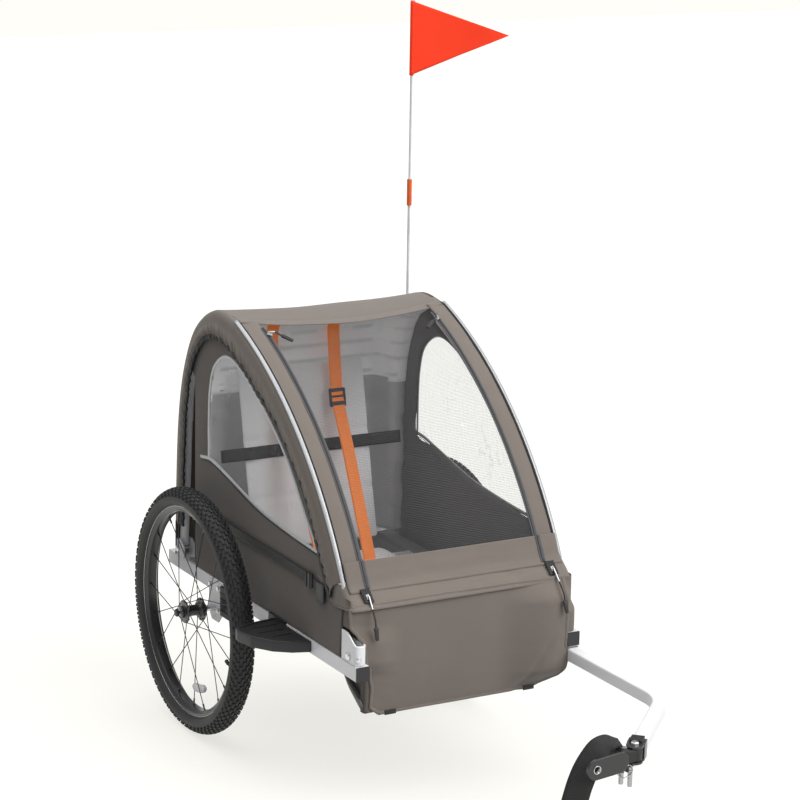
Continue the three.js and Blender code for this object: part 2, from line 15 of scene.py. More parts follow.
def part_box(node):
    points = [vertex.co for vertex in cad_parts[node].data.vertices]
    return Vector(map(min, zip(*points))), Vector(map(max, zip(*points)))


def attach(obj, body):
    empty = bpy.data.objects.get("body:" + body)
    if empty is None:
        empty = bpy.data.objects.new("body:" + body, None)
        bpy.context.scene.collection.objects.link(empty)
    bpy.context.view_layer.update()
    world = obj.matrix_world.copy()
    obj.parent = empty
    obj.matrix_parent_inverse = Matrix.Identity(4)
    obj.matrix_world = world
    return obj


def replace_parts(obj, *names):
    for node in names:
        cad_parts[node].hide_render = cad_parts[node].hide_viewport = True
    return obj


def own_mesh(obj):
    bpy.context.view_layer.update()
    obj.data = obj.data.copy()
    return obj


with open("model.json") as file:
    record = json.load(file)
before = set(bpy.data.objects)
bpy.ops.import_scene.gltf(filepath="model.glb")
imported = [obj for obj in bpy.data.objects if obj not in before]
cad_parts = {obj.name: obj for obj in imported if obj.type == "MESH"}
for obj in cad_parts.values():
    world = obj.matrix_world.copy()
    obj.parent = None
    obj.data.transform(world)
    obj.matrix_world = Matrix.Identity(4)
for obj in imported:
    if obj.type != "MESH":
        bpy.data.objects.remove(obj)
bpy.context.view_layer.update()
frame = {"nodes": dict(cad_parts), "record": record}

# ------------------------------------------------------------------ the trailer's own millimetres

MM = 0.001
X, Y, Z = 0, 1, 2
SIDES = (("right", -1), ("left", 1))
MIDDLE_X = (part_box("right_tyre")[0][X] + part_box("left_tyre")[1][X]) / 2
AXLE_Y = (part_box("left_tyre")[0][Y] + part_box("left_tyre")[1][Y]) / 2
UP = Vector((0, 0, 1))


def at(x, y, z):
    return Vector((MIDDLE_X + x * MM, AXLE_Y + y * MM, z * MM))


def span(node, axis):
    """The lowest and highest place of a CAD node along one axis, in the trailer's millimetres."""
    low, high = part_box(node)
    start = (MIDDLE_X, AXLE_Y, 0.0)[axis]
    return (low[axis] - start) / MM, (high[axis] - start) / MM


RAIL_IN, RAIL_OUT = span("left_side_rail", X)
RAIL_BOTTOM, RAIL_TOP = span("left_side_rail", Z)
HOOD_OUT = span("hood", X)[1]
SIDE_OUT = span("left_side_panel", X)[1]
SIDE_IN = span("left_side_panel", X)[0]
AXLE_Z = sum(span("left_tyre", Z)) / 2
TYRE_R = span("left_tyre", Z)[1] - AXLE_Z
WHEEL_X = sum(span("left_tyre", X)) / 2
PANEL_BOTTOM, PANEL_TOP = span("front_panel", Z)
PANEL_Y = span("front_panel", Y)[0]
ARM_Z = sum(span("tow_arm_receiver", Z)) / 2

# The side view of the cabin, as (Y, Z): the arch carries the front cover, and the hood wraps the rest.
ARCH_CENTRE = (216.0, 65.0)
ARCH_R = 835.0
ARCH_TOP, ARCH_FOOT = 110.8, 152.6  # degrees from the Y axis
ROOF_LINE = [(205, 309), (202, 440), (189, 600), (160, 715), (105, 805), (17, 853), (-80.5, 847)]
OPENING = [
    (152, 380), (146, 544), (121, 695), (60, 784), (-20, 806), (-100, 785),
    (-184, 741), (-296, 676), (-389, 590), (-431, 532), (-464, 470), (-500, 415),
]
WINDOW = [
    (37, 548), (37, 629), (32, 691), (12, 742), (-42, 774), (-109, 762), (-200, 714),
    (-282, 655), (-337, 602), (-388, 541), (-438, 483), (-311, 492), (-182, 506), (-47, 536),
]


def arch(angle, radius=ARCH_R):
    """The (Y, Z) of a point on the front arch."""
    turn = math.radians(angle)
    return ARCH_CENTRE[0] + radius * math.cos(turn), ARCH_CENTRE[1] + radius * math.sin(turn)


# ------------------------------------------------------------------ curves


def mix(a, b, share):
    return a + (b - a) * share


def ease(share):
    share = min(1.0, max(0.0, share))
    return share * share * (3 - 2 * share)


def along(points, count):
    """count + 1 points evenly spaced along a line of straight pieces."""
    points = [Vector(p) for p in points]
    walked = [0.0]
    for a, b in zip(points, points[1:]):
        walked.append(walked[-1] + (b - a).length)
    found = []
    piece = 0
    for i in range(count + 1):
        goal = walked[-1] * i / count
        while piece < len(points) - 2 and walked[piece + 1] < goal:
            piece += 1
        share = (goal - walked[piece]) / max(1e-9, walked[piece + 1] - walked[piece])
        found.append(points[piece].lerp(points[piece + 1], share))
    return found


def smooth(points, count, closed=False):
    """count + 1 evenly spaced points of a smooth curve through the given ones."""
    points = [Vector(p) for p in points]
    if closed:
        around = [points[-1]] + points + [points[0], points[1]]
    else:
        around = [2 * points[0] - points[1]] + points + [2 * points[-1] - points[-2]]
    fine = []
    for a, b, c, d in zip(around, around[1:], around[2:], around[3:]):
        for k in range(16):
            t = k / 16
            fine.append(
                b + 0.5 * t * (c - a + t * (2 * a - 5 * b + 4 * c - d + t * (3 * (b - c) + d - a)))
            )
    fine.append(points[0] if closed else points[-1])
    return along(fine, count)


def rounded(points, radius, steps=6):
    """A line of straight pieces with its corners turned into arcs."""
    points = [Vector(p) for p in points]
    found = [points[0]]
    for a, b, c in zip(points, points[1:], points[2:]):
        back = (a - b).normalized()
        ahead = (c - b).normalized()
        bend = math.pi - back.angle(ahead)
        cut = min(radius * math.tan(bend / 2), 0.49 * (a - b).length, 0.49 * (c - b).length)
        start = b + back * cut
        end = b + ahead * cut
        for k in range(steps + 1):
            t = k / steps
            found.append((1 - t) ** 2 * start + 2 * t * (1 - t) * b + t * t * end)
    found.append(points[-1])
    return found


def ripple(place, size, seed=0.0):
    """A smooth wander between about -1 and 1, the same in each run."""
    return noise.noise(Vector(place) / size + Vector((seed, 2 * seed, -seed)))


# ------------------------------------------------------------------ meshes


def piece(name, mesh, material, body="chassis", slot=None):
    """A finished mesh as a piece of the trailer, riding on one of its bodies."""
    obj = bpy.data.objects.new(name, mesh)
    bpy.context.scene.collection.objects.link(obj)
    if not mesh.materials:
        mesh.materials.append(material)
    slot or SLOT_OF[material.name]
    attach(obj, body)
    return obj


def from_faces(name, verts, faces, uvs=None, soft=True, sharp=None):
    """A mesh, with a UV map in metres where uvs gives one pair for each corner of each face."""
    mesh = bpy.data.meshes.new(name)
    mesh.from_pydata([tuple(v) for v in verts], [], faces)
    layer = mesh.uv_layers.new(name="metres")
    if uvs:
        flat = [number for face in uvs for pair in face for number in pair]
        layer.data.foreach_set("uv", flat)
    mesh.validate()
    if soft:
        mesh.shade_smooth()
    if sharp:
        mesh.set_sharp_from_angle(angle=math.radians(sharp))
    return mesh


def grid(name, point, columns, rows, size):
    """A sheet: point(u, v) is its place, for u across and v along, each from 0 to 1. size is in metres."""
    verts = [point(i / columns, j / rows) for j in range(rows + 1) for i in range(columns + 1)]
    faces = []
    uvs = []
    for j in range(rows):
        for i in range(columns):
            a = j * (columns + 1) + i
            faces.append((a, a + 1, a + columns + 2, a + columns + 1))
            u0, u1 = size[0] * i / columns, size[0] * (i + 1) / columns
            v0, v1 = size[1] * j / rows, size[1] * (j + 1) / rows
            uvs.append(((u0, v0), (u1, v0), (u1, v1), (u0, v1)))
    return from_faces(name, verts, faces, uvs)


def thicken(obj, thickness, offset=0.0):
    """Gives a sheet its real thickness, with a fine edge."""
    solid = obj.modifiers.new("thickness", "SOLIDIFY")
    solid.thickness = thickness * MM
    solid.offset = offset
    solid.use_even_offset = False
    return obj


def turned(path, up):
    """(place, side, up) at each point of a path. up is one vector, or one for each point."""
    found = []
    for i, p in enumerate(path):
        ahead = (path[min(i + 1, len(path) - 1)] - path[max(i - 1, 0)]).normalized()
        upward = up[i] if isinstance(up, list) else up
        side = ahead.cross(upward).normalized()
        found.append((p, side, side.cross(ahead).normalized()))
    return found


def sweep(name, path, up, section, sharp=None, closed=False):
    """Carries a closed section, as (side, up) in metres, along a path."""
    frames = turned(path, up)
    verts = []
    for i, (p, side, upward) in enumerate(frames):
        shape = section(i / (len(frames) - 1)) if callable(section) else section
        size = len(shape)
        verts += [p + side * a + upward * b for a, b in shape]
    count = len(frames) - 1 if closed else len(frames)
    shape = section(0.5) if callable(section) else section
    rim = [0.0]
    for k in range(size):
        a, b = shape[k], shape[(k + 1) % size]
        rim.append(rim[-1] + math.hypot(b[0] - a[0], b[1] - a[1]))
    walked = [0.0]
    for a, b in zip(path, path[1:]):
        walked.append(walked[-1] + (b - a).length)
    faces = []
    uvs = []
    for i in range(len(frames) - 1):
        j = (i + 1) % count if closed else i + 1
        for k in range(size):
            n = (k + 1) % size
            faces.append((i * size + k, i * size + n, j * size + n, j * size + k))
            uvs.append(
                (
                    (rim[k], walked[i]), (rim[k + 1], walked[i]),
                    (rim[k + 1], walked[i + 1]), (rim[k], walked[i + 1]),
                )
            )
    if not closed:
        first = tuple(range(size - 1, -1, -1))
        last = tuple(range((count - 1) * size, count * size))
        faces += [first, last]
        uvs.append([shape[k] for k in first])
        uvs.append([shape[k] for k in range(size)])
    return from_faces(name, verts, faces, uvs, sharp=sharp)


def circle(radius, count=12):
    return [
        (radius * MM * math.cos(2 * math.pi * k / count), radius * MM * math.sin(2 * math.pi * k / count))
        for k in range(count)
    ]


def bar(width, height, corner=0.6, steps=3):
    """A rectangular section with rounded corners, in millimetres, as (side, up) in metres."""
    corner = min(corner, width / 2, height / 2)
    found = []
    for sx, sy, start in ((1, 1, 0), (-1, 1, 90), (-1, -1, 180), (1, -1, 270)):
        for k in range(steps + 1):
            turn = math.radians(start + 90 * k / steps)
            found.append(
                (
                    (sx * (width / 2 - corner) + corner * math.cos(turn)) * MM,
                    (sy * (height / 2 - corner) + corner * math.sin(turn)) * MM,
                )
            )
    return found


def flat_strap(width, thickness):
    """The section of a flat strap, with more points across it so that it can curl."""
    half = width / 2 * MM
    rise = thickness / 2 * MM
    across = [mix(-half, half, k / 6) for k in range(7)]
    return [(x, -rise) for x in across] + [(x, rise) for x in reversed(across)]


def lathe(name, profile, centre, segments, sharp=None):
    """Turns a closed (x, radius) profile in millimetres about a line along X through centre."""
    verts = []
    for k in range(segments):
        turn = 2 * math.pi * k / segments
        verts += [
            centre + Vector((x, r * math.cos(turn), r * math.sin(turn))) * MM for x, r in profile
        ]
    size = len(profile)
    faces = []
    uvs = []
    rim = [0.0]
    for a, b in zip(profile, profile[1:] + profile[:1]):
        rim.append(rim[-1] + math.hypot(b[0] - a[0], b[1] - a[1]) * MM)
    around = 2 * math.pi * max(r for _, r in profile) * MM
    for k in range(segments):
        n = (k + 1) % segments
        for i in range(size):
            j = (i + 1) % size
            faces.append((k * size + i, k * size + j, n * size + j, n * size + i))
            low, high = around * k / segments, around * (k + 1) / segments
            uvs.append(((low, rim[i]), (low, rim[i + 1]), (high, rim[i + 1]), (high, rim[i])))
    return from_faces(name, verts, faces, uvs, sharp=sharp)


def finished(whole, name, sharp):
    """A bmesh as a smooth mesh, whose edges that turn more than sharp degrees stay crisp."""
    mesh = bpy.data.meshes.new(name)
    whole.to_mesh(mesh)
    whole.free()
    mesh.shade_smooth()
    if sharp:
        mesh.set_sharp_from_angle(angle=math.radians(sharp))
    return mesh


def join(name, meshes, sharp=None):
    """Several meshes as one."""
    whole = bmesh.new()
    whole.loops.layers.uv.new("metres")
    for mesh in meshes:
        whole.from_mesh(mesh)
        bpy.data.meshes.remove(mesh)
    bmesh.ops.remove_doubles(whole, verts=whole.verts, dist=1e-6)
    return finished(whole, name, sharp)


def block(name, size, bevel=1.0, place=None, turn=None, taper=1.0):
    """A moulded block with rounded edges. size is in millimetres, and place is its centre."""
    whole = bmesh.new()
    bmesh.ops.create_cube(whole, size=1.0)
    for v in whole.verts:
        if v.co.z > 0:
            v.co.x *= taper
            v.co.y *= taper
        v.co = Vector((v.co.x * size[0], v.co.y * size[1], v.co.z * size[2])) * MM
    bmesh.ops.bevel(
        whole, geom=list(whole.edges), offset=bevel * MM, segments=3, profile=0.5, affect="EDGES"
    )
    matrix = Matrix.Translation(place if place is not None else Vector())
    if turn is not None:
        matrix = matrix @ turn.to_matrix().to_4x4()
    bmesh.ops.transform(whole, matrix=matrix, verts=whole.verts)
    return finished(whole, name, 50)


def facing(direction, up=UP):
    """The turn that takes Z to direction, with X across."""
    z = Vector(direction).normalized()
    x = up.cross(z)
    if x.length < 1e-4:
        x = Vector((1, 0, 0))
    x.normalize()
    y = z.cross(x)
    return Matrix((x, y, z)).transposed().to_quaternion()


def stepped(name, path, radii, count, sharp):
    """A straight bar with count sides, and with a radius in millimetres for each point of its path."""
    ahead = (path[-1] - path[0]).normalized()
    up = UP if abs(ahead.z) < 0.9 else Vector((0, 1, 0))

    def section(share):
        return circle(radii[round(share * (len(radii) - 1))], count)

    return sweep(name, path, up, section, sharp=sharp)


def rod(name, start, end, radius, count=16, tip=0.3):
    """A round bar with chamfered ends. radius and tip are in millimetres."""
    cut = (end - start).normalized() * tip * MM
    radii = [radius - tip, radius, radius, radius - tip]
    return stepped(name, [start, start + cut, end - cut, end], radii, count, 40)


def hex_head(name, centre, axis, across=13, height=5):
    """A hexagon bolt head standing on a plane at centre, with its corners taken off."""
    axis = Vector(axis).normalized()
    radius = across / math.sqrt(3)
    path = [centre, centre + axis * (height - 1) * MM, centre + axis * height * MM]
    return stepped(name, path, [radius, radius, radius * 0.86], 6, 20)


def plate(name, outline, up, bevel, segments, fold, inset=0.0, drop=0.0):
    """A closed outline of points thickened by up. Edges that turn more than fold radians are rounded, and
    inset and drop, in millimetres, sink the middle of its top."""
    whole = bmesh.new()
    face = whole.faces.new([whole.verts.new(p) for p in outline])
    grown = bmesh.ops.extrude_face_region(whole, geom=[face])
    moved = [g for g in grown["geom"] if isinstance(g, bmesh.types.BMVert)]
    bmesh.ops.translate(whole, vec=up, verts=moved)
    bmesh.ops.recalc_face_normals(whole, faces=whole.faces)
    whole.normal_update()
    edges = [e for e in whole.edges if len(e.link_faces) == 2 and e.calc_face_angle(0) > fold]
    bmesh.ops.bevel(
        whole, geom=edges, offset=bevel * MM, segments=segments, profile=0.5, affect="EDGES"
    )
    if inset:
        whole.normal_update()
        top = max(whole.faces, key=lambda f: f.calc_area() * f.normal.dot(up.normalized()))
        bmesh.ops.inset_region(whole, faces=[top], thickness=inset * MM)
        bmesh.ops.inset_region(whole, faces=[top], thickness=1.2 * MM, depth=-drop * MM)
    return finished(whole, name, 35)


# ------------------------------------------------------------------ materials


class Graph:
    """A material's node tree, with short names for the nodes that the finishes share."""

    def __init__(self, name):
        self.material = bpy.data.materials.new(name)
        self.material.use_nodes = True
        self.tree = self.material.node_tree
        self.shader = self.tree.nodes["Principled BSDF"]
        self.output = self.tree.nodes["Material Output"]
        self.coordinates = self.tree.nodes.new("ShaderNodeTexCoord")

    def node(self, kind, **values):
        node = self.tree.nodes.new("ShaderNode" + kind)
        for key, value in values.items():
            if key in node.inputs:
                node.inputs[key].default_value = value
            else:
                setattr(node, key, value)
        return node

    def link(self, source, target):
        self.tree.links.new(source, target)

    def set(self, **values):
        for key, value in values.items():
            self.shader.inputs[key.replace("_", " ")].default_value = value

    def noise(self, scale, detail=3.0, stretch=None, seed=0.0):
        """A noise pattern's value, from 0 to 1. stretch makes it longer along an axis."""
        texture = self.node("TexNoise", Scale=scale, Detail=detail)
        mapping = self.node("Mapping")
        mapping.inputs["Location"].default_value = (seed, seed * 2, seed * 3)
        if stretch:
            mapping.inputs["Scale"].default_value = stretch
        self.link(self.coordinates.outputs["Object"], mapping.inputs["Vector"])
        self.link(mapping.outputs["Vector"], texture.inputs["Vector"])
        return texture.outputs["Fac"]

    def lines(self, pitch, axis, where="UV"):
        """Evenly spaced soft ridges, pitch metres apart along one axis."""
        texture = self.node(
            "TexWave", wave_type="BANDS", bands_direction=axis, Scale=math.pi / 10 / pitch
        )
        self.link(self.coordinates.outputs[where], texture.inputs["Vector"])
        return texture.outputs["Fac"]

    def maths(self, operation, a, b=None, clamp=False):
        node = self.node("Math", operation=operation, use_clamp=clamp)
        for socket, value in zip(node.inputs, (a, b)):
            if value is None:
                continue
            if isinstance(value, (int, float)):
                socket.default_value = value
            else:
                self.link(value, socket)
        return node.outputs["Value"]

    def between(self, value, low, high):
        """A 0 to 1 value spread between two numbers."""
        node = self.node("MapRange")
        self.link(value, node.inputs["Value"])
        node.inputs["To Min"].default_value = low
        node.inputs["To Max"].default_value = high
        return node.outputs["Result"]

    def tint(self, value, first, second):
        """A colour between two, picked by value."""
        node = self.node("Mix", data_type="RGBA")
        self.link(value, node.inputs["Factor"])
        node.inputs["A"].default_value = (*first, 1)
        node.inputs["B"].default_value = (*second, 1)
        return node.outputs["Result"]

    def bump(self, height, distance, strength=1.0, under=None):
        node = self.node("Bump", Distance=distance, Strength=strength)
        self.link(height, node.inputs["Height"])
        if under is not None:
            self.link(under, node.inputs["Normal"])
        return node.outputs["Normal"]

    def colour(self, source):
        self.link(source, self.shader.inputs["Base Color"])

    def roughness(self, source):
        self.link(source, self.shader.inputs["Roughness"])

    def normal(self, source):
        self.link(source, self.shader.inputs["Normal"])


def shade(colour, factor):
    return tuple(min(1.0, c * factor) for c in colour)


def weave_fabric(
    name, colour, pitch=0.0011, mottle=0.10, fold=0.0016, sheen=0.25, where="UV", painted_glow=0.0
):
    """Coated polyester cloth: a fine basket weave, faint mottling and soft creases. The last argument is
    painted light, a glow of the cloth's own: it brightens the cabin's inside and the flag."""
    g = Graph(name)
    g.set(Emission_Color=(*colour, 1), Emission_Strength=painted_glow)
    g.set(Roughness=0.78, Sheen_Weight=sheen, Sheen_Roughness=0.5, Specular_IOR_Level=0.3)
    across = g.lines(pitch, "X", where)
    length = g.lines(pitch, "Y" if where == "UV" else "Z", where)
    weave = g.maths("MULTIPLY", across, length)
    cloud = g.noise(9.0, 4.0)
    speck = g.noise(420.0, 2.0, seed=3.0)
    patches = g.maths("ADD", g.maths("MULTIPLY", cloud, 0.6), g.maths("MULTIPLY", speck, 0.4))
    base = g.tint(patches, shade(colour, 1 - mottle), shade(colour, 1 + mottle))
    dark = g.node("Mix", data_type="RGBA", blend_type="MULTIPLY")
    dark.inputs["Factor"].default_value = 1.0
    g.link(base, dark.inputs["A"])
    g.link(g.tint(weave, (0.86, 0.86, 0.86), (1.06, 1.06, 1.06)), dark.inputs["B"])
    g.colour(dark.outputs["Result"])
    g.roughness(g.between(speck, 0.68, 0.88))
    creases = g.noise(14.0, 5.0, seed=7.0)
    folds = g.bump(creases, fold, 0.9)
    g.normal(g.bump(weave, 0.00022, 0.7, folds))
    return g.material


def webbing(name, colour, ridge=0.0026, sheen=0.3, painted_glow=0.0):
    """Woven strap: ridges across it and fine ribs along it, with worn patches. The last argument is painted
    light, a glow of its own as for cloth.
    """
    g = Graph(name)
    g.set(Roughness=0.62, Sheen_Weight=sheen, Sheen_Roughness=0.4)
    g.set(Emission_Color=(*colour, 1), Emission_Strength=painted_glow)
    across = g.lines(ridge, "Y")
    fine = g.lines(0.0011, "X")
    weave = g.maths("ADD", g.maths("MULTIPLY", across, 0.6), g.maths("MULTIPLY", fine, 0.4))
    wear = g.noise(60.0, 3.0)
    worn = g.maths("MULTIPLY", weave, g.between(wear, 0.7, 1.1))
    g.colour(g.tint(worn, shade(colour, 0.72), shade(colour, 1.12)))
    g.normal(g.bump(weave, 0.0004, 0.8))
    return g.material


def open_mesh(name, colour, pitch, thread):
    """Knitted net: threads with see-through holes between them."""
    g = Graph(name)
    g.set(Base_Color=(*colour, 1), Roughness=0.6, Specular_IOR_Level=0.4)
    split = g.node("SeparateXYZ")
    g.link(g.coordinates.outputs["UV"], split.inputs["Vector"])
    rows = g.maths("MULTIPLY", split.outputs["Y"], 1 / pitch)
    shift = g.maths("MULTIPLY", g.maths("MODULO", g.maths("FLOOR", rows), 2.0), 0.5)
    columns = g.maths("ADD", g.maths("MULTIPLY", split.outputs["X"], 1 / pitch), shift)
    holes = []
    for cells in (columns, rows):
        offset = g.maths("ABSOLUTE", g.maths("SUBTRACT", g.maths("FRACT", cells), 0.5))
        holes.append(g.maths("MULTIPLY", offset, 2.0))
    far = g.maths(
        "SQRT",
        g.maths("ADD", g.maths("POWER", holes[0], 4.0), g.maths("POWER", holes[1], 4.0)),
    )
    solid = g.maths("GREATER_THAN", far, 1 - thread)
    clear = g.node("BsdfTransparent")
    blend = g.node("MixShader")
    g.link(solid, blend.inputs["Fac"])
    g.link(clear.outputs["BSDF"], blend.inputs[1])
    g.link(g.shader.outputs["BSDF"], blend.inputs[2])
    g.link(blend.outputs["Shader"], g.output.inputs["Surface"])
    grain = g.noise(300.0, 2.0)
    g.colour(g.tint(grain, shade(colour, 0.8), shade(colour, 1.25)))
    g.normal(g.bump(far, 0.0004, 0.6))
    return g.material


def clear_vinyl(name):
    """Soft clear sheet: see-through, with ripples, and with painted highlights: streaks in patches where
    the sheet shows its white shader.
    """
    g = Graph(name)
    g.set(Base_Color=(0.93, 0.94, 0.95, 1), Roughness=0.10, Specular_IOR_Level=0.6)
    wide = g.noise(7.0, 2.5, stretch=(1.0, 2.2, 0.8))
    fine = g.noise(30.0, 3.0, stretch=(1.0, 1.6, 0.7), seed=4.0)
    ripples = g.bump(fine, 0.0016, 0.5, g.bump(wide, 0.02, 0.5))
    g.normal(ripples)
    clear = g.node("BsdfTransparent", Color=(0.91, 0.915, 0.92, 1))
    facing_ratio = g.node("LayerWeight", Blend=0.3)
    g.link(ripples, facing_ratio.inputs["Normal"])
    glance = g.between(facing_ratio.outputs["Fresnel"], 0.03, 0.26)
    # Painted highlights: streaks along the ridges of a noise, in patches, mix the sheet's white shader into
    # the clear one.
    painted_highlight_noise = g.noise(16.0, 4.0, stretch=(1.0, 1.5, 0.8), seed=9.0)
    ridge = g.maths("ABSOLUTE", g.maths("SUBTRACT", painted_highlight_noise, 0.5))
    painted_streak = g.maths("SUBTRACT", 1.0, g.maths("MULTIPLY", ridge, 26.0, clamp=True))
    patch = g.maths("MULTIPLY", g.maths("SUBTRACT", g.noise(9.0, 2.0, seed=2.0), 0.46), 5.0, clamp=True)
    painted_glint = g.maths("MULTIPLY", g.maths("MULTIPLY", painted_streak, patch), 0.24)
    share = g.maths("MAXIMUM", glance, painted_glint)
    blend = g.node("MixShader")
    g.link(share, blend.inputs["Fac"])
    g.link(clear.outputs["BSDF"], blend.inputs[1])
    g.link(g.shader.outputs["BSDF"], blend.inputs[2])
    g.link(blend.outputs["Shader"], g.output.inputs["Surface"])
    return g.material


def coated_metal(name, colour, rough=0.34):
    """Powder-coated metal, with softened edges, faint orange peel and handling marks."""
    g = Graph(name)
    g.set(Coat_Weight=0.25, Coat_Roughness=0.2)
    peel = g.noise(700.0, 2.0)
    marks = g.noise(38.0, 5.0, stretch=(1.0, 0.25, 1.0), seed=2.0)
    g.colour(g.tint(marks, shade(colour, 0.94), shade(colour, 1.04)))
    g.roughness(g.between(marks, rough - 0.08, rough + 0.12))
    soft_edges = g.node("Bevel", Radius=0.0012, samples=4)
    g.normal(g.bump(peel, 0.00006, 0.5, soft_edges.outputs["Normal"]))
    return g.material


def plated_steel(name, colour=(0.72, 0.73, 0.75), rough=0.24):
    """Bright zinc or chrome plate, lightly brushed."""
    g = Graph(name)
    g.set(Metallic=1.0)
    brushed = g.noise(60.0, 3.0, stretch=(1.0, 1.0, 14.0))
    smudge = g.noise(25.0, 3.0, seed=5.0)
    g.colour(g.tint(smudge, shade(colour, 0.86), shade(colour, 1.05)))
    g.roughness(g.between(smudge, rough - 0.06, rough + 0.16))
    g.normal(g.bump(brushed, 0.00006, 0.5))
    return g.material


def moulded(name, colour, rough=0.5, grain=0.00012, scale=900.0):
    """Moulded plastic or rubber with a fine spark-eroded grain and dull scuffs."""
    g = Graph(name)
    g.set(Specular_IOR_Level=0.45)
    texture = g.noise(scale, 2.0)
    scuffs = g.noise(30.0, 5.0, seed=6.0)
    g.colour(g.tint(scuffs, shade(colour, 0.8), shade(colour, 1.35)))
    g.roughness(g.between(scuffs, rough - 0.1, rough + 0.14))
    g.normal(g.bump(texture, grain, 0.6))
    return g.material


def reflective_tape(name):
    """Silver retroreflective piping: tiny cells under a satin film."""
    g = Graph(name)
    g.set(Metallic=0.35, Roughness=0.4)
    cells = g.node("TexVoronoi", Scale=620.0, feature="DISTANCE_TO_EDGE")
    g.link(g.coordinates.outputs["Object"], cells.inputs["Vector"])
    edge = g.maths("MULTIPLY", cells.outputs["Distance"], 6.0, clamp=True)
    g.colour(g.tint(edge, (0.34, 0.35, 0.37), (0.56, 0.57, 0.58)))
    g.normal(g.bump(edge, 0.0001, 0.4))
    return g.material


TAUPE = (0.205, 0.174, 0.149)
CLOTH = weave_fabric("cabin_cloth", TAUPE)
# A darker copy of the cabin cloth, which paints the shade on the cabin's sides, the right corner cloth and
# the foot well's sides.
SHADED_CLOTH = weave_fabric("side_cloth", shade(TAUPE, 0.54))
# The glow values below are painted light: the floor, seat, linings, orange straps and flag shine with their
# own colour to brighten the cabin's inside and the flag.
FLOOR_CLOTH = weave_fabric("floor_cloth", (0.18, 0.18, 0.18), sheen=0.1, painted_glow=0.12)
SEAT_CLOTH = weave_fabric("seat_cloth", (0.60, 0.60, 0.605), where="Object", painted_glow=0.18)
LINING_CLOTH = weave_fabric("lining_cloth", (0.84, 0.84, 0.845), fold=0.003, painted_glow=0.14)
SIDE_LINING = weave_fabric("side_lining", (0.14, 0.14, 0.143), painted_glow=0.08)
INNER_CLOTH = weave_fabric("inner_cloth", (0.46, 0.46, 0.465), fold=0.008, painted_glow=0.10)
NET = open_mesh("cover_net", (0.10, 0.10, 0.103), 0.0030, 0.10)
VINYL = clear_vinyl("window_sheet")
ORANGE = webbing("orange_webbing", (1.0, 0.24, 0.035), painted_glow=0.18)
BLACK_WEB = webbing("black_webbing", (0.010, 0.010, 0.0105), sheen=0.1)
BINDING = webbing("black_binding", (0.008, 0.008, 0.0085), ridge=0.0016, sheen=0.1)
ZIP_TAPE = webbing("zip_tape", (0.10, 0.10, 0.105), ridge=0.0014)
SILVER = reflective_tape("silver_piping")
WHITE = coated_metal("white_coat", (0.88, 0.88, 0.895))
GUNMETAL = plated_steel("dark_plate", (0.10, 0.10, 0.105), 0.34)
STEEL = plated_steel("zinc_plate")
CHROME = plated_steel("grey_chrome", (0.42, 0.43, 0.45), 0.2)
BLACK_METAL = coated_metal("black_coat", (0.022, 0.022, 0.024), rough=0.3)
RUBBER = moulded("tyre_rubber", (0.026, 0.026, 0.027), rough=0.56, grain=0.0003, scale=420.0)
ELASTOMER = moulded("elastomer", (0.017, 0.017, 0.018), rough=0.55)
PLASTIC = moulded("black_plastic", (0.022, 0.022, 0.024), rough=0.42)
REFLECTOR = moulded("white_reflector", (0.82, 0.83, 0.84), rough=0.2, grain=0.0004, scale=500.0)
POLE = moulded("fibreglass", (0.72, 0.72, 0.73), rough=0.35, grain=0.00005)
SLEEVE = moulded("orange_sleeve", (0.85, 0.12, 0.015), rough=0.4)
FLAG_CLOTH = weave_fabric(
    "flag_cloth", (1.0, 0.045, 0.008), pitch=0.0008, mottle=0.03, fold=0.0008, sheen=0.0, painted_glow=0.22
)

# The finishes of each material slot: the first one is also for the CAD nodes that stay.
FINISHES = {
    "frame_white": [WHITE],
    "hardware_steel": [STEEL, CHROME],
    "wheel_black": [BLACK_METAL],
    "coupler_black": [BLACK_METAL],
    "spoke_black": [GUNMETAL],
    "tyre_rubber": [RUBBER],
    "black_plastic": [PLASTIC, REFLECTOR],
    "elastomer": [ELASTOMER],
    "cabin_fabric": [CLOTH, SHADED_CLOTH, SIDE_LINING],
    "floor_fabric": [FLOOR_CLOTH],
    "seat_fabric": [SEAT_CLOTH, LINING_CLOTH, INNER_CLOTH],
    "cover_mesh": [NET],
    "window_vinyl": [VINYL],
    "reflective_piping": [SILVER],
    "webbing_orange": [ORANGE],
    "webbing_black": [BLACK_WEB, BINDING, ZIP_TAPE],
    "flag_pole": [POLE],
    "flag_cloth": [FLAG_CLOTH, SLEEVE],
}
SLOT_OF = {finish.name: slot for slot, finishes in FINISHES.items() for finish in finishes}


def finish_cad_nodes():
    """Every CAD node that stays gets the detailed finish of its slot."""
    slots = {part["node"]: part["material_slot"] for part in frame["record"]["subparts"]}
    for node, obj in frame["nodes"].items():
        for material_slot in obj.material_slots:
            material_slot.link = "OBJECT"
            material_slot.material = FINISHES[slots[node]][0]


# ------------------------------------------------------------------ camera, light and floor


def set_camera():
    """The photograph's view: where it was taken from, its direction, its lens and its slight roll."""
    data = bpy.data.cameras.new("camera")
    data.sensor_width = 36.0
    data.lens = 115.6
    data.clip_end = 60.0
    camera = bpy.data.objects.new("camera", data)
    camera.location = at(-2336, -4475.4, 1867.5)
    looking = Vector((0.4759, 0.8480, -0.2334))
    roll = Quaternion(Vector((0, 0, 1)), math.radians(1.0))
    camera.rotation_mode = "QUATERNION"
    camera.rotation_quaternion = looking.to_track_quat("-Z", "Y") @ roll
    bpy.context.scene.collection.objects.link(camera)
    bpy.context.scene.camera = camera


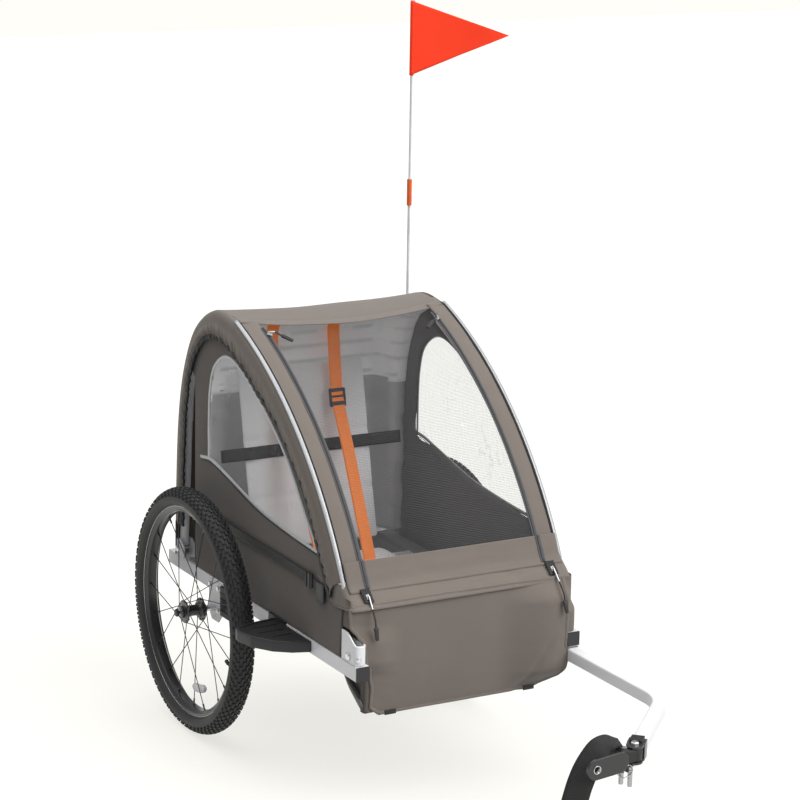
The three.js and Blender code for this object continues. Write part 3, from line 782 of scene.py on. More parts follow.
def soft_sun(name, towards, strength, spread):
    """Even light from far away, as from a very large soft box. towards is the way that it shines."""
    data = bpy.data.lights.new(name, "SUN")
    data.energy = strength
    data.angle = math.radians(spread)
    light = bpy.data.objects.new(name, data)
    light.location = at(0, 0, 3000)
    light.rotation_mode = "QUATERNION"
    light.rotation_quaternion = Vector(towards).to_track_quat("-Z", "Y")
    bpy.context.scene.collection.objects.link(light)


def set_light():
    """A soft key from the front and above, a wider light from overhead, and a pale surround."""
    soft_sun("key", (-0.42, 0.66, -0.62), 2.35, 50)
    soft_sun("overhead", (0.05, -0.15, -1.0), 1.75, 80)
    world = bpy.data.worlds.new("studio")
    bpy.context.scene.world = world
    world.use_nodes = True
    nodes = world.node_tree.nodes
    links = world.node_tree.links
    surround = nodes["Background"]
    surround.inputs["Color"].default_value = (0.98, 0.985, 1.0, 1)
    surround.inputs["Strength"].default_value = 0.36
    seen = nodes.new("ShaderNodeBackground")
    seen.inputs["Color"].default_value = (1.0, 0.992, 0.945, 1)
    seen.inputs["Strength"].default_value = 1.0
    path = nodes.new("ShaderNodeLightPath")
    blend = nodes.new("ShaderNodeMixShader")
    links.new(path.outputs["Is Camera Ray"], blend.inputs["Fac"])
    links.new(surround.outputs["Background"], blend.inputs[1])
    links.new(seen.outputs["Background"], blend.inputs[2])
    links.new(blend.outputs["Shader"], nodes["World Output"].inputs["Surface"])
    bpy.context.scene.view_settings.view_transform = "Standard"


def set_floor():
    """A plain pale floor, whose own light keeps it nearly white under the trailer."""
    g = Graph("studio_floor")
    g.set(Roughness=0.9, Specular_IOR_Level=0.1)
    g.set(Emission_Color=(1.0, 0.992, 0.945, 1), Emission_Strength=0.72)
    g.colour(g.tint(g.noise(0.8, 2.0), (0.30, 0.297, 0.28), (0.31, 0.307, 0.29)))
    floor_mesh = grid(
        "studio_floor", lambda u, v: Vector((mix(-14, 14, u), mix(-14, 14, v), -0.0005)), 4, 4, (28, 28)
    )
    floor_mesh.materials.append(g.material)
    floor = bpy.data.objects.new("studio_floor", floor_mesh)
    bpy.context.scene.collection.objects.link(floor)
    floor.visible_diffuse = False  # the pale floor throws no light back up onto the trailer's sides


# ------------------------------------------------------------------ wheels

RIM_R = span("left_rim", Z)[1] - AXLE_Z
RIM_INNER_R = RIM_R - 14
SPOKES = 20
HUB_FLANGE_R = 20.5
HUB_FLANGE_X = 18.0
TYRE_HALF = (span("left_tyre", X)[1] - span("left_tyre", X)[0]) / 2
TREAD_DEPTH = 3.2


def tyre_surface(angle, lift=0.0):
    """(x, radius) on the tyre's section, angle degrees round from its crown."""
    turn = math.radians(angle)
    middle = TYRE_R - TREAD_DEPTH - 20.5
    return (TYRE_HALF + lift) * math.sin(turn), middle + (20.5 + lift) * math.cos(turn)


def tyre_body(centre):
    """The casing: round crown, grooved sidewalls and beads that tuck into the rim."""
    outside = []
    for k in range(-27, 28):
        angle = 4.4 * k
        ridge = 0.7 if abs(k) in (17, 18, 21, 22) else 0.0
        outside.append(tyre_surface(angle, ridge if abs(angle) > 60 else 0.0))
    bead = [(12.4, RIM_R - 2), (10.6, RIM_R - 6), (-10.6, RIM_R - 6), (-12.4, RIM_R - 2)]
    return lathe("casing", outside + bead, centre, 144)


def tread_blocks(centre):
    """Rows of small blocks, each row staggered from the next, with longer ones on the shoulders."""
    rows = [(8, 4.2, 10.6), (23, 4.2, 10.2), (38, 4.4, 9.8), (53, 4.6, 8.0), (66, 3.6, 6.0)]
    blocks = 84
    verts = []
    faces = []
    for row, (angle, width, length) in enumerate(rows):
        for side in (-1, 1):
            for k in range(blocks):
                turn = 2 * math.pi * (k + (0.5 if (row + (side > 0)) % 2 else 0.0)) / blocks
                spin = Matrix.Rotation(turn, 3, "X")
                start = len(verts)
                for lift, narrow in ((-1.5, 1.0), (TREAD_DEPTH * 0.75, 0.95), (TREAD_DEPTH, 0.8)):
                    step = math.degrees(width * narrow / 2 / 22.0)
                    for da, dl in ((-step, -1), (step, -1), (step, 1), (-step, 1)):
                        x, r = tyre_surface(side * angle + da, lift)
                        flat = Vector((x, dl * length * narrow / 2, r))
                        verts.append(centre + spin @ flat * MM)
                for level in (0, 4):
                    for i in range(4):
                        j = (i + 1) % 4
                        faces.append(
                            (
                                start + level + i, start + level + j,
                                start + level + 4 + j, start + level + 4 + i,
                            )
                        )
                faces.append((start + 8, start + 9, start + 10, start + 11))
                faces.append((start + 3, start + 2, start + 1, start))
    return from_faces("blocks", verts, faces, soft=False)


def rim_profile():
    half = 13.5
    low = RIM_INNER_R
    return [
        (half - 0.4, RIM_R), (half, RIM_R - 0.6), (half, RIM_R - 7), (half - 1.6, RIM_R - 9),
        (9.5, low + 1.2), (6.0, low), (-6.0, low), (-9.5, low + 1.2),
        (-half + 1.6, RIM_R - 9), (-half, RIM_R - 7), (-half, RIM_R - 0.6), (-half + 0.4, RIM_R),
        (-half + 1.6, RIM_R), (-half + 2.2, RIM_R - 7), (half - 2.2, RIM_R - 7), (half - 1.6, RIM_R),
    ]


def spoke_line(index):
    """(hub point, rim point) of one spoke as (x, angle, radius), crossing two others."""
    side = 1 if index % 2 else -1
    pair = index // 2
    lean = 1 if pair % 2 else -1
    rim_angle = 2 * math.pi * index / SPOKES
    hub_angle = rim_angle + lean * math.radians(72)
    return (side * HUB_FLANGE_X, hub_angle, HUB_FLANGE_R), (side * 2.5, rim_angle, RIM_INNER_R + 0.5)


def round_wheel(place, centre):
    """The point at (x, angle, radius) on a wheel."""
    x, angle, radius = place
    return centre + Vector((x, radius * math.cos(angle), radius * math.sin(angle))) * MM


def wheel_spokes(centre):
    meshes = []
    for index in range(SPOKES):
        hub, rim = (round_wheel(end, centre) for end in spoke_line(index))
        outside = Vector((1 if hub.x > centre.x else -1, 0, 0)) * 2.2 * MM
        ahead = (rim - hub).normalized()
        path = [hub - outside, hub + outside * 0.8, hub + outside + ahead * 4 * MM, rim]
        meshes.append(sweep("spoke", path, Vector((1, 0.01, 0.02)), circle(0.95, 8)))
        meshes.append(rod("nipple", rim - ahead * 13 * MM, rim + ahead * 2 * MM, 1.9, 8))
        meshes.append(rod("spoke_end", hub - outside * 1.5, hub - outside * 0.6, 1.9, 8))
    return join("spokes", meshes)


def wheel_hub(centre):
    """A waisted shell between two flanges, with a locknut at each end."""
    half = [
        (0.0, 11.0), (9.0, 11.4), (14.0, 13.5), (16.4, 16.0), (16.8, 23.0), (17.2, 23.5),
        (19.2, 23.5), (19.8, 22.8), (20.2, 15.0), (21.0, 12.5), (26.0, 11.8), (27.0, 10.8),
    ]
    outside = [(-x, r) for x, r in reversed(half[1:])] + half
    bore = [(27.0, 6.2), (-27.0, 6.2)]
    return lathe("hub", outside + bore, centre, 48, sharp=30)


def build_wheel(side, sign):
    centre = at(sign * WHEEL_X, 0, AXLE_Z)
    body = f"{side}_wheel"
    tyre_mesh = join("tyre", [tyre_body(centre), tread_blocks(centre)], sharp=35)
    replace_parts(piece(f"{side}_tyre_detail", tyre_mesh, RUBBER, body), f"{side}_tyre")
    rim_mesh = lathe("rim", rim_profile(), centre, 144, sharp=30)
    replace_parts(piece(f"{side}_rim_detail", rim_mesh, BLACK_METAL, body, "wheel_black"), f"{side}_rim")
    # Painted highlight: a thin bright steel ring along each edge of the rim stands for the light that the
    # rim's glossy edges reflect.
    lines = []
    for edge in (-1, 1):
        path = [
            round_wheel((edge * 13.6, 2 * math.pi * k / 144, RIM_R - 1.6), centre) for k in range(145)
        ]
        lines.append(sweep("line", path, Vector((1, 0, 0)), circle(0.45, 6), closed=True))
    piece(f"{side}_rim_edge_highlights", join("lines", lines), STEEL, body)
    spokes = piece(f"{side}_spokes_detail", wheel_spokes(centre), GUNMETAL, body)
    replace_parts(spokes, f"{side}_spokes")
    hub = piece(f"{side}_hub_detail", wheel_hub(centre), BLACK_METAL, body, "wheel_black")
    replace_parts(hub, f"{side}_hub")
    build_reflector(side, centre, body)
    valve_angle = math.radians(200)
    outward = Vector((0, math.cos(valve_angle), math.sin(valve_angle)))
    start = centre + outward * (RIM_INNER_R + 1) * MM
    valve = join("valve", [
        rod("stem", start, start - outward * 26 * MM, 2.6),
        rod("cap", start - outward * 24 * MM, start - outward * 34 * MM, 3.9),
    ])
    piece(f"{side}_valve", valve, PLASTIC, body)


def build_reflector(side, centre, body):
    """A white spoke reflector: a curved bar with round ends that lies along the wheel."""
    radius = 158
    first, last = math.radians(-112), math.radians(-92)
    path = [round_wheel((0, mix(first, last, k / 14), radius), centre) for k in range(15)]

    def section(share):
        width = 17 * math.sqrt(max(0.05, 1 - (2 * share - 1) ** 6))
        return bar(7.5, width, 2.2)

    up = [(p - centre).normalized() for p in path]
    piece(f"{side}_reflector", sweep("reflector", path, up, section), REFLECTOR, body)


# ------------------------------------------------------------------ frame details


HOOP_X = 226.0  # the middle of the hoop's two legs
BRACKET_IN = 217.3  # the inner wall of each front bracket


def build_tubes():
    """The rear hoop's bent tube, drawn round and smooth, and the two sleeves in its legs."""
    leg = [(185, 330), (173, 480), (160, 640), (146, 710), (116, 768), (72, 811)]
    half = [(HOOP_X, y, z) for y, z in leg] + [(220, 38, 829), (200, 20, 835), (160, 17, 836)]
    path = [at(*p) for p in half] + [at(-x, y, z) for x, y, z in reversed(half)]
    hoop = sweep("hoop", smooth(path, 150), Vector((0, 1, 0.001)), circle(9.1, 20))
    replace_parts(piece("rear_hoop_tube", hoop, WHITE, "rear_hoop"), "rear_hoop")
    for side, sign in SIDES:
        spots = ((163.5, 598), (160, 640), (154.5, 675), (146.5, 708))
        line = [at(sign * HOOP_X, y, z) for y, z in spots]
        sleeve = sweep("sleeve", smooth(line, 24), Vector((0, 1, 0.001)), circle(9.9, 24), sharp=40)
        piece(f"{side}_hoop_sleeve", sleeve, WHITE, "rear_hoop")


def bracket_wall(side, sign, outer, front):
    """A front bracket bent from one sheet: two walls joined by a rounded nose whose top slopes down."""
    rear = span(f"{side}_front_bracket", Y)[1]
    low, high = span(f"{side}_front_bracket", Z)
    corners = ((BRACKET_IN, rear), (BRACKET_IN, front), (outer, front), (outer, rear))
    plan = rounded([(x, y, 0) for x, y in corners], 10, 8)
    line = along(plan, 60)

    def point(u, v):
        spot = line[round(u * 60)]
        outer_wall = ease((spot.x - BRACKET_IN - 8) / 8)
        slope = min(1.0, max(0.0, (spot.y - front - 2) / 30))
        top = mix(347, high, slope * outer_wall)
        return at(sign * spot.x, spot.y, mix(low + 0.4, top, v))

    return grid("wall", point, 60, 12, (0.14, 0.06))


def build_brackets():
    """The front brackets with their forward screws, and the plate screws by the axle."""
    for side, sign in SIDES:
        outer, front = (RAIL_OUT - 1.3, -592.0) if sign < 0 else (RAIL_OUT - 6.0, -576.0)
        wall = piece(f"{side}_bracket_wall", bracket_wall(side, sign, outer, front), WHITE)
        thicken(wall, 2.6)
        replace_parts(wall, f"{side}_front_bracket")
        rear = span(f"{side}_front_bracket", Y)[1]
        low = span(f"{side}_front_bracket", Z)[0]
        middle = at(sign * (outer + 194) / 2, rear - 17, low + 1.3)
        foot = block("foot", (outer - 194, 30, 2.5), 0.8, middle)
        cheek = block("cheek", (2.5, 26, 34), 0.8, at(sign * 193.8, -555, low + 17.5))
        spacer = rod("spacer", at(sign * 215.3, -566, 322), at(sign * (outer - 2), -566, 322), 7)
        piece(f"{side}_bracket_foot", join("foot", [foot, cheek, spacer], sharp=40), WHITE)
        ahead = Vector((sign * 0.28, -0.96, 0)).normalized()
        bolt = at(sign * (outer - 7.8), front + 8.4, 322) + ahead * 10.6 * MM
        meshes = [
            rod("washer", bolt, bolt + ahead * 1.8 * MM, 5.6),
            hex_head("head", bolt + ahead * 1.8 * MM, ahead, 7.5, 3),
        ]
        out = sign * span("left_axle_plate", X)[1]
        away = Vector((sign, 0, 0))
        for y in (-20, 18):
            for z in (RAIL_BOTTOM + 14, RAIL_BOTTOM - 34):
                spot = at(out, y, z)
                meshes.append(rod("washer", spot, spot + away * 1.4 * MM, 6.2))
                meshes.append(hex_head("head", spot + away * 1.4 * MM, away, 9, 3.6))
        piece(f"{side}_frame_screws", join("screws", meshes, sharp=30), STEEL)


def build_axle_blocks():
    """The black moulded block that each rail carries just ahead of its axle plate."""
    for side, sign in SIDES:
        low = at(sign * (RAIL_OUT + 4.5), -54, 274)
        body = block("axle_block", (8.5, 40, 62), 2.5, low)
        meshes = [body]
        for rise in (-18, -6, 6, 18):
            place = low + Vector((sign * 4.6, 0, rise)) * MM
            meshes.append(block("rib", (2.2, 34, 2.4), 0.6, place))
        piece(f"{side}_axle_block", join("axle_block", meshes, sharp=40), PLASTIC)


CLAMP_X, CLAMP_Z = 226.5, 294.5  # the middle of the clamp that holds each guard to its rail


def build_guards():
    """The moulded wheel guards: a thick plate with a raised lip, and a clamp round the rail."""
    low, high = span("left_wheel_guard", Z)
    for side, sign in SIDES:
        points = [(240.6, -262), (300, -270), (334, -284), (338, -302),
                  (330, -345), (305, -385), (275, -408), (240.6, -420)]
        line = rounded([(sign * x, y, 0) for x, y in points], 12, 5)
        base = [at(p.x, p.y, low) for p in line]
        meshes = [plate("guard", base, UP * (high - low) * MM, 2.2, 3, 0.6, 5.0, 2.4)]
        for k in range(3):
            start = at(sign * 252, -296 - 30 * k, high - 2.4)
            end = at(sign * (322 - 16 * k), -298 - 30 * k, high - 2.4)
            path = [start, (start + end) / 2, end]
            meshes.append(sweep("rib", path, UP, bar(3.0, 3.4, 0.8)))
        guard = piece(f"{side}_guard_detail", join("guard", meshes, sharp=35), PLASTIC)
        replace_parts(guard, f"{side}_wheel_guard")
        path = [at(sign * CLAMP_X, y, CLAMP_Z) for y in (-243, -246, -310, -313)]
        clamp = sweep("clamp", path, UP, clamp_section(), sharp=40)
        screws = [
            hex_head("head", at(sign * CLAMP_X, y, RAIL_TOP + 3.4), UP, 9, 3.6) for y in (-256, -300)
        ]
        piece(f"{side}_guard_clamp", clamp, PLASTIC)
        piece(f"{side}_guard_screws", join("screws", screws, sharp=30), STEEL)


def clamp_section():
    """A square band round the rail, open below where it is narrowest, as one closed outline."""
    inner = (RAIL_OUT - RAIL_IN) / 2 + 0.25
    outer = inner + 3.0
    return [
        (x * MM, z * MM)
        for x, z in (
            (-outer, -outer), (-outer, outer), (outer, outer), (outer, -outer), (inner * 0.5, -outer),
            (inner * 0.5, -inner), (inner, -inner), (inner, inner), (-inner, inner), (-inner, -inner),
            (-inner * 0.5, -inner), (-inner * 0.5, -outer),
        )
    ]


def build_rail_caps():
    """Ribbed plastic plugs in the rear ends of the rails."""
    for side, sign in SIDES:
        end = span(f"{side}_side_rail", Y)[1]
        x = sign * (RAIL_IN + RAIL_OUT) / 2
        z = (RAIL_BOTTOM + RAIL_TOP) / 2
        size = (RAIL_OUT - RAIL_IN - 1, 3.2, RAIL_TOP - RAIL_BOTTOM - 1)
        cap = block("cap", size, 1.0, at(x, end + 1.7, z))
        plug = block("plug", (20, 12, 20), 0.8, at(x, end - 5, z))
        piece(f"{side}_rear_cap", join("cap", [cap, plug], sharp=40), PLASTIC)


# ------------------------------------------------------------------ hood

HOOD_CORNER = 20.0
FRONT_EDGE = 229.0  # where the hood's front rims meet the silver piping
HOOD_ROWS = 420
ARCH_SWEEP = ARCH_FOOT - ARCH_TOP


def hood_lines():
    """The hood's outer line and the edge of its side opening, as matched lists of (Y, Z)."""
    front = [arch(mix(ARCH_TOP, ARCH_FOOT, k / 40)) for k in range(1, 41)]
    crown = smooth([(y, z, 0) for y, z in ROOF_LINE], 120)
    start = next(i for i, p in enumerate(crown) if p.y >= 380)
    outer = along(list(crown[start:]) + [Vector((y, z, 0)) for y, z in front], HOOD_ROWS)
    inner = smooth([(y, z, 0) for y, z in OPENING], HOOD_ROWS)
    return outer, inner, crown[: start + 1]


OUTER, INNER, BACK_FOOT = hood_lines()
ROOF_END = next(i for i, p in enumerate(OUTER) if p.x <= ROOF_LINE[-1][0] + 0.5)


def outward_at(row):
    """The way out of the cabin at a row of the hood's outer line, in the side view."""
    a = OUTER[max(row - 2, 0)]
    b = OUTER[min(row + 2, HOOD_ROWS)]
    run = (b - a).normalized()
    return Vector((run.y, -run.x, 0))


def roof_drop(row, x):
    """How far the roof cloth hangs below the straight line between its two edges."""
    share = row / ROOF_END
    front = ease((share - 0.72) / 0.28)
    back = 1 - ease(share / 0.45)
    span_share = 1 - (x / FRONT_EDGE) ** 2
    return (14.0 * front + 5.0 * back + 1.5) * span_share


def gather(row, share, sign):
    """The cloth's outward ruffle by the side opening's elastic. share is 0 at the corner, 1 at the edge."""
    place = OUTER[row]
    long_wave = ripple((place.x, place.y, 40 * sign), 26.0, 1.5)
    short_wave = math.sin(0.86 * row + 4.0 * long_wave)
    corner_pull = 1.0 + 1.2 * math.exp(-(((row - 0.42 * HOOD_ROWS) / 60.0) ** 2))
    return share**1.2 * (1 - 0.62 * share**8) * (2.3 * short_wave + 2.6 * long_wave) * corner_pull


def hood_side_point(row, share, sign):
    """A point of the hood's side. share runs from 0 at the elastic, over the corner, to 1 at the roof."""
    out = outward_at(row)
    edge = INNER[row]
    top = OUTER[row] - out * HOOD_CORNER
    turn_starts = 0.68
    if share <= turn_starts:
        s = share / turn_starts
        place = edge.lerp(top, s)
        puff = 5.0 * math.sin(math.pi * s) - 1.5 + gather(row, 1 - s, sign)
        return at(sign * (HOOD_OUT + puff), place.x, place.y)
    turn = math.radians(90 * (share - turn_starts) / (1 - turn_starts))
    x = FRONT_EDGE + (HOOD_OUT - 2.0 - FRONT_EDGE) * math.cos(turn)
    rise = HOOD_CORNER * (math.sin(turn) - 1)
    place = OUTER[row] + out * (rise + 1.5)
    return at(sign * x, place.x, place.y)


def hood_roof_point(row, x):
    out = outward_at(row)
    wander = ripple((x, 3 * row, 0), 130.0, 2.0) * 2.4 * (1 - (x / FRONT_EDGE) ** 8)
    seam = -1.1 * math.exp(-(((ROOF_END - row) - 9) / 1.6) ** 2)
    place = OUTER[row] + out * (1.5 - roof_drop(row, x) + wander + seam)
    pull = 0.0
    if row > ROOF_END - 60:
        pull = -22.0 * ease((row - ROOF_END + 60) / 60) * (1 - (x / FRONT_EDGE) ** 2)
    return at(x, place.x + pull, place.y + 0.10 * pull)


def build_hood():
    meshes = []
    for _, sign in SIDES:

        def band(u, v):
            return hood_side_point(round(v * HOOD_ROWS), u, sign)

        meshes.append(grid("band", band, 16, HOOD_ROWS, (0.13, 1.45)))

    def roof(u, v):
        return hood_roof_point(round(v * ROOF_END), mix(-FRONT_EDGE, FRONT_EDGE, u))

    meshes.append(grid("roof", roof, 44, ROOF_END, (0.46, 0.78)))
    hood = piece("hood_cloth", join("hood", meshes), CLOTH)
    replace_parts(hood, "hood")
    thicken(hood, 1.2, -1.0)
    foot = along(list(BACK_FOOT), 12)
    back_mesh = grid("back", lambda u, v: back_point(foot, u, v), 52, 12, (0.49, 0.08))
    back = piece("hood_back_skirt", back_mesh, CLOTH)
    thicken(back, 1.2, -1.0)
    return [hood, back]


def back_point(foot, u, v):
    """The narrow cloth below the hood's side bands, down the back to the rails."""
    x = mix(-HOOD_OUT + 1, HOOD_OUT - 1, u)
    place = foot[round(v * 12)]
    roll = 20.0 * (1 - math.sqrt(max(0.0, 1 - max(0.0, (abs(x) - 221) / 22) ** 2)))
    return at(x, place.x + 1.0 - roll - 6.5 * (1 - (x / FRONT_EDGE) ** 2) * 0.8, place.y)


def build_hood_trim():
    """The ruffled black elastic round each side opening, and the silver piping on the front arches."""
    pieces = []
    for side, sign in SIDES:
        path = []
        ups = []
        for row in range(0, HOOD_ROWS + 1):
            edge = INNER[row]
            sway = 1.2 * math.sin(1.35 * row) + 0.8 * ripple((3 * row, 0, 7 * sign), 9.0)
            path.append(at(sign * (HOOD_OUT + 1.8 + gather(row, 1.0, sign) * 0.8), edge.x, edge.y))
            ups.append(Vector((sign, 0.04 * sway, 0.03 * sway)))

        def ruffle(share):
            return flat_strap(9.6 + 0.8 * math.sin(HOOD_ROWS * share * 1.1), 4.0)

        binding = piece(f"{side}_opening_binding", sweep("binding", path, ups, ruffle), BINDING)
        pieces.append(binding)
        arc = []
        arc_up = []
        for k in range(81):
            angle = mix(ARCH_TOP - 0.6, ARCH_FOOT + 1.0, k / 80)
            y, z = arch(angle, ARCH_R + 2.2)
            arc.append(at(sign * 233.0, y, z))
            turn = math.radians(angle)
            arc_up.append(Vector((sign * 0.35, math.cos(turn), math.sin(turn))))
        strip = piece(
            f"{side}_front_piping", sweep("piping", arc, arc_up, domed(8.0, 2.6)), SILVER
        )
        pieces.append(strip)
        seam = [p - Vector((sign * 6.4, 0, 0)) * MM for p in arc]
        dark = piece(f"{side}_front_seam", sweep("seam", seam, arc_up, circle(1.1, 6)), BINDING)
        pieces.append(dark)
    return pieces


def domed(width, height):
    """The section of a soft piping: flat below and round above."""
    half = width / 2
    found = [(-half * MM, -0.4 * MM)]
    for k in range(9):
        turn = math.pi * (1 - k / 8)
        found.append((half * math.cos(turn) * MM, height * math.sin(turn) * 0.6 * MM))
    found.append((half * MM, -0.4 * MM))
    return found


# ------------------------------------------------------------------ side panels and windows


def polar(outline, centre, count):
    """Where count rays from centre leave a closed outline, as (Y, Z)."""
    found = []
    points = [Vector(p) for p in outline]
    for k in range(count):
        turn = 2 * math.pi * k / count
        ahead = Vector((math.cos(turn), math.sin(turn)))
        best = None
        for a, b in zip(points, points[1:] + points[:1]):
            run = b - a
            cross = ahead.x * run.y - ahead.y * run.x
            if abs(cross) < 1e-9:
                continue
            gap = a - Vector(centre)
            reach = (gap.x * run.y - gap.y * run.x) / cross
            share = (gap.x * ahead.y - gap.y * ahead.x) / cross
            if reach > 0 and -1e-6 <= share <= 1 + 1e-6 and (best is None or reach > best):
                best = reach
        found.append(Vector(centre) + ahead * best)
    return found


WINDOW_CENTRE = (-150.0, 610.0)
SIDE_REAR = 103.0  # where the side cloth ends in front of the rear hoop
RAYS = 480


def side_outline():
    """The side cloth's edge: along the rail, up the back, under the hood and down the arch."""
    top = []
    for row in range(0, HOOD_ROWS + 1, 10):
        y, z = (OUTER[row] - outward_at(row) * 12.0).xy
        top.append((min(y, mix(SIDE_REAR, 200.0, ease((z - 705) / 70))), z))
    return [(-540, 415), (-536, 372), (-533, RAIL_TOP + 1), (SIDE_REAR, RAIL_TOP + 1)] + top


def ring_sheet(name, outer, inner, steps, place):
    """Cloth between two closed loops of the same count. place turns (Y, Z) into a point."""
    count = len(outer)
    verts = []
    spots = []
    for j in range(steps + 1):
        for i in range(count):
            spot = inner[i].lerp(outer[i], j / steps)
            spots.append(spot)
            verts.append(place(spot, j / steps))
    faces = []
    uvs = []
    for j in range(steps):
        for i in range(count):
            n = (i + 1) % count
            face = (j * count + i, j * count + n, (j + 1) * count + n, (j + 1) * count + i)
            faces.append(face)
            uvs.append([(spots[k].x * MM, spots[k].y * MM) for k in face])
    return from_faces(name, verts, faces, uvs)


def build_sides():
    pieces = []
    outer = polar(side_outline(), WINDOW_CENTRE, RAYS)
    window_line = smooth([(y, z, 0) for y, z in WINDOW], 96, closed=True)
    window = polar([tuple(p.xy) for p in window_line[:-1]], WINDOW_CENTRE, RAYS)
    middle = Vector(WINDOW_CENTRE)
    for side, sign in SIDES:

        def cloth_place(spot, share):
            wander = 1.6 * (1 + ripple((spot.x, spot.y, 90 * sign), 90.0))
            swell = 3.0 * math.sin(math.pi * share) + wander
            return at(sign * (SIDE_IN + 1.4 + 0.4 * swell), spot.x, spot.y)

        def lining_place(spot, _):
            return at(sign * (SIDE_IN + 0.45), spot.x, spot.y)

        def vinyl_place(spot, share):
            slack = 1 - share**3
            wave = 1.1 * (1 + ripple((spot.x * 1.3, spot.y * 0.7, 30 * sign), 46.0, 5.0)) * slack
            return at(sign * (SIDE_IN + 0.2 + wave), spot.x, spot.y)

        cloth_mesh = ring_sheet("side", outer, window, 30, cloth_place)
        # The side cloth takes the darker cloth that paints its shade.
        cloth = piece(f"{side}_side_cloth", cloth_mesh, SHADED_CLOTH)
        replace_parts(cloth, f"{side}_side_panel")
        thicken(cloth, 1.0)
        lining_mesh = ring_sheet("lining", outer, window, 10, lining_place)
        lining = piece(f"{side}_side_lining", lining_mesh, SIDE_LINING)
        thicken(lining, 0.5)
        pieces.append(lining)
        centre_loop = [middle + (p - middle) * 0.02 for p in window]
        grown = [middle + (p - middle) * 1.015 for p in window]
        sheet_mesh = ring_sheet("vinyl", grown, centre_loop, 30, vinyl_place)
        vinyl = piece(f"{side}_window_sheet", sheet_mesh, VINYL)
        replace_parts(vinyl, f"{side}_side_window")
        pieces += [cloth, vinyl] + side_trim(side, sign) + side_strap(side, sign)
    return pieces


def side_trim(side, sign):
    """Silver piping over the window and along its bottom, where it runs on to the back above a seam."""
    outward = Vector((sign, 0, 0))
    top = WINDOW[:10] + [(-443, 482)]
    low = [(75, 546), (23, 550), (-47, 536), (-182, 506), (-311, 492), (-443, 484)]
    pieces = []
    for word, line in (("upper", top), ("lower", low)):
        path = smooth([at(sign * (SIDE_OUT + 1.2), y, z) for y, z in line], 90)
        strip = sweep("piping", path, outward, domed(7.2, 2.4))
        pieces.append(piece(f"{side}_window_piping_{word}", strip, SILVER))
    below = [p - UP * 6.4 * MM for p in path]
    thread = sweep("stitch", below, outward, circle(0.7, 5))
    pieces.append(piece(f"{side}_window_stitch", thread, BINDING))
    return pieces


def side_strap(side, sign):
    """The black strap that pulls the side cloth to the frame, with its ladder buckle and end tab."""
    outward = Vector((sign, 0, 0))
    line = [(1.5, 120, 437), (2.2, -57, 436), (1.2, -244, 433), (1.2, -400, 429), (1.0, -466, 418)]
    path = smooth([at(sign * (HOOD_OUT + gap), y, z) for gap, y, z in line], 50)
    strap_mesh = sweep("strap", path, outward, flat_strap(18.5, 1.8))
    strap = piece(f"{side}_tension_strap", strap_mesh, BLACK_WEB)
    buckle = join("buckle", [
        block("frame", (4.5, 26, 28), 1.4, at(sign * (HOOD_OUT + 3.0), -418, 427)),
        block("bar", (3.0, 4, 30), 1.0, at(sign * (HOOD_OUT + 5.6), -411, 427)),
        block("bar", (3.0, 4, 30), 1.0, at(sign * (HOOD_OUT + 5.6), -425, 427)),
    ])
    tab = block("tab", (5.0, 30, 38), 2.0, at(sign * (HOOD_OUT + 2.0), -462, 414))
    return [
        strap,
        piece(f"{side}_tension_buckle", buckle, PLASTIC),
        piece(f"{side}_tension_tab", tab, PLASTIC),
    ]


# ------------------------------------------------------------------ front cover

ZIP_X = 189.5
MESH_FOOT = 150.6  # degrees on the arch, where the net meets the plain cloth


COVER_HALF = 235.0


def cover_sag(x, share):
    """The cover hangs a little inside the arches between them."""
    return -5.0 * (1 - (x / COVER_HALF) ** 2) * math.sin(math.pi * share)


def arch_point(x, angle, lift=0.0):
    share = (angle - ARCH_TOP) / ARCH_SWEEP
    y, z = arch(angle, ARCH_R + lift + cover_sag(x, share))
    return at(x, y, z)


def arch_up(angle):
    turn = math.radians(angle)
    return Vector((0, math.cos(turn), math.sin(turn)))


def build_cover():
    pieces = []

    def net_point(u, v):
        x = mix(-ZIP_X, ZIP_X, u)
        return arch_point(x, mix(ARCH_TOP - 3.0, MESH_FOOT + 0.4, v), -1.0 - roof_tuck(v, x))

    net = piece("cover_net", grid("net", net_point, 40, 90, (0.378, 0.55)), NET)
    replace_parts(net, "front_cover")
    pieces.append(net)
    for side, sign in SIDES:

        def border_point(u, v):
            lift = 0.6 + 1.2 * math.sin(math.pi * u) + 0.7 * ripple((90 * u, 600 * v, sign), 40.0)
            return arch_point(sign * mix(ZIP_X + 2, 230.0, u), mix(ARCH_TOP - 0.5, ARCH_FOOT, v), lift)

        border = piece(f"{side}_cover_border", grid("border", border_point, 8, 90, (0.04, 0.6)), CLOTH)
        thicken(border, 1.0)
        angles = [mix(ARCH_TOP + 1.6, ARCH_FOOT - 0.2, k / 90) for k in range(91)]
        tape_path = [arch_point(sign * ZIP_X, a, 1.6) for a in angles]
        ups = [arch_up(a) for a in angles]
        tape = piece(f"{side}_zip_tape", sweep("tape", tape_path, ups, flat_strap(11, 1.0)), ZIP_TAPE)
        coil_path = [arch_point(sign * ZIP_X, a, 2.6) for a in angles]
        coil = piece(f"{side}_zip_coil", zip_coil(coil_path, ups), PLASTIC)
        pieces += [border, tape, coil]
    pieces += cover_foot()
    return pieces


def roof_tuck(v, x):
    """The net's top end goes down under the roof's front edge, which hangs lowest in the middle."""
    hang = 21.0 * (1 - (x / FRONT_EDGE) ** 2) * (1 - ease((v - 0.10) / 0.45))
    return hang + 9.0 * (1 - ease(v / 0.12))


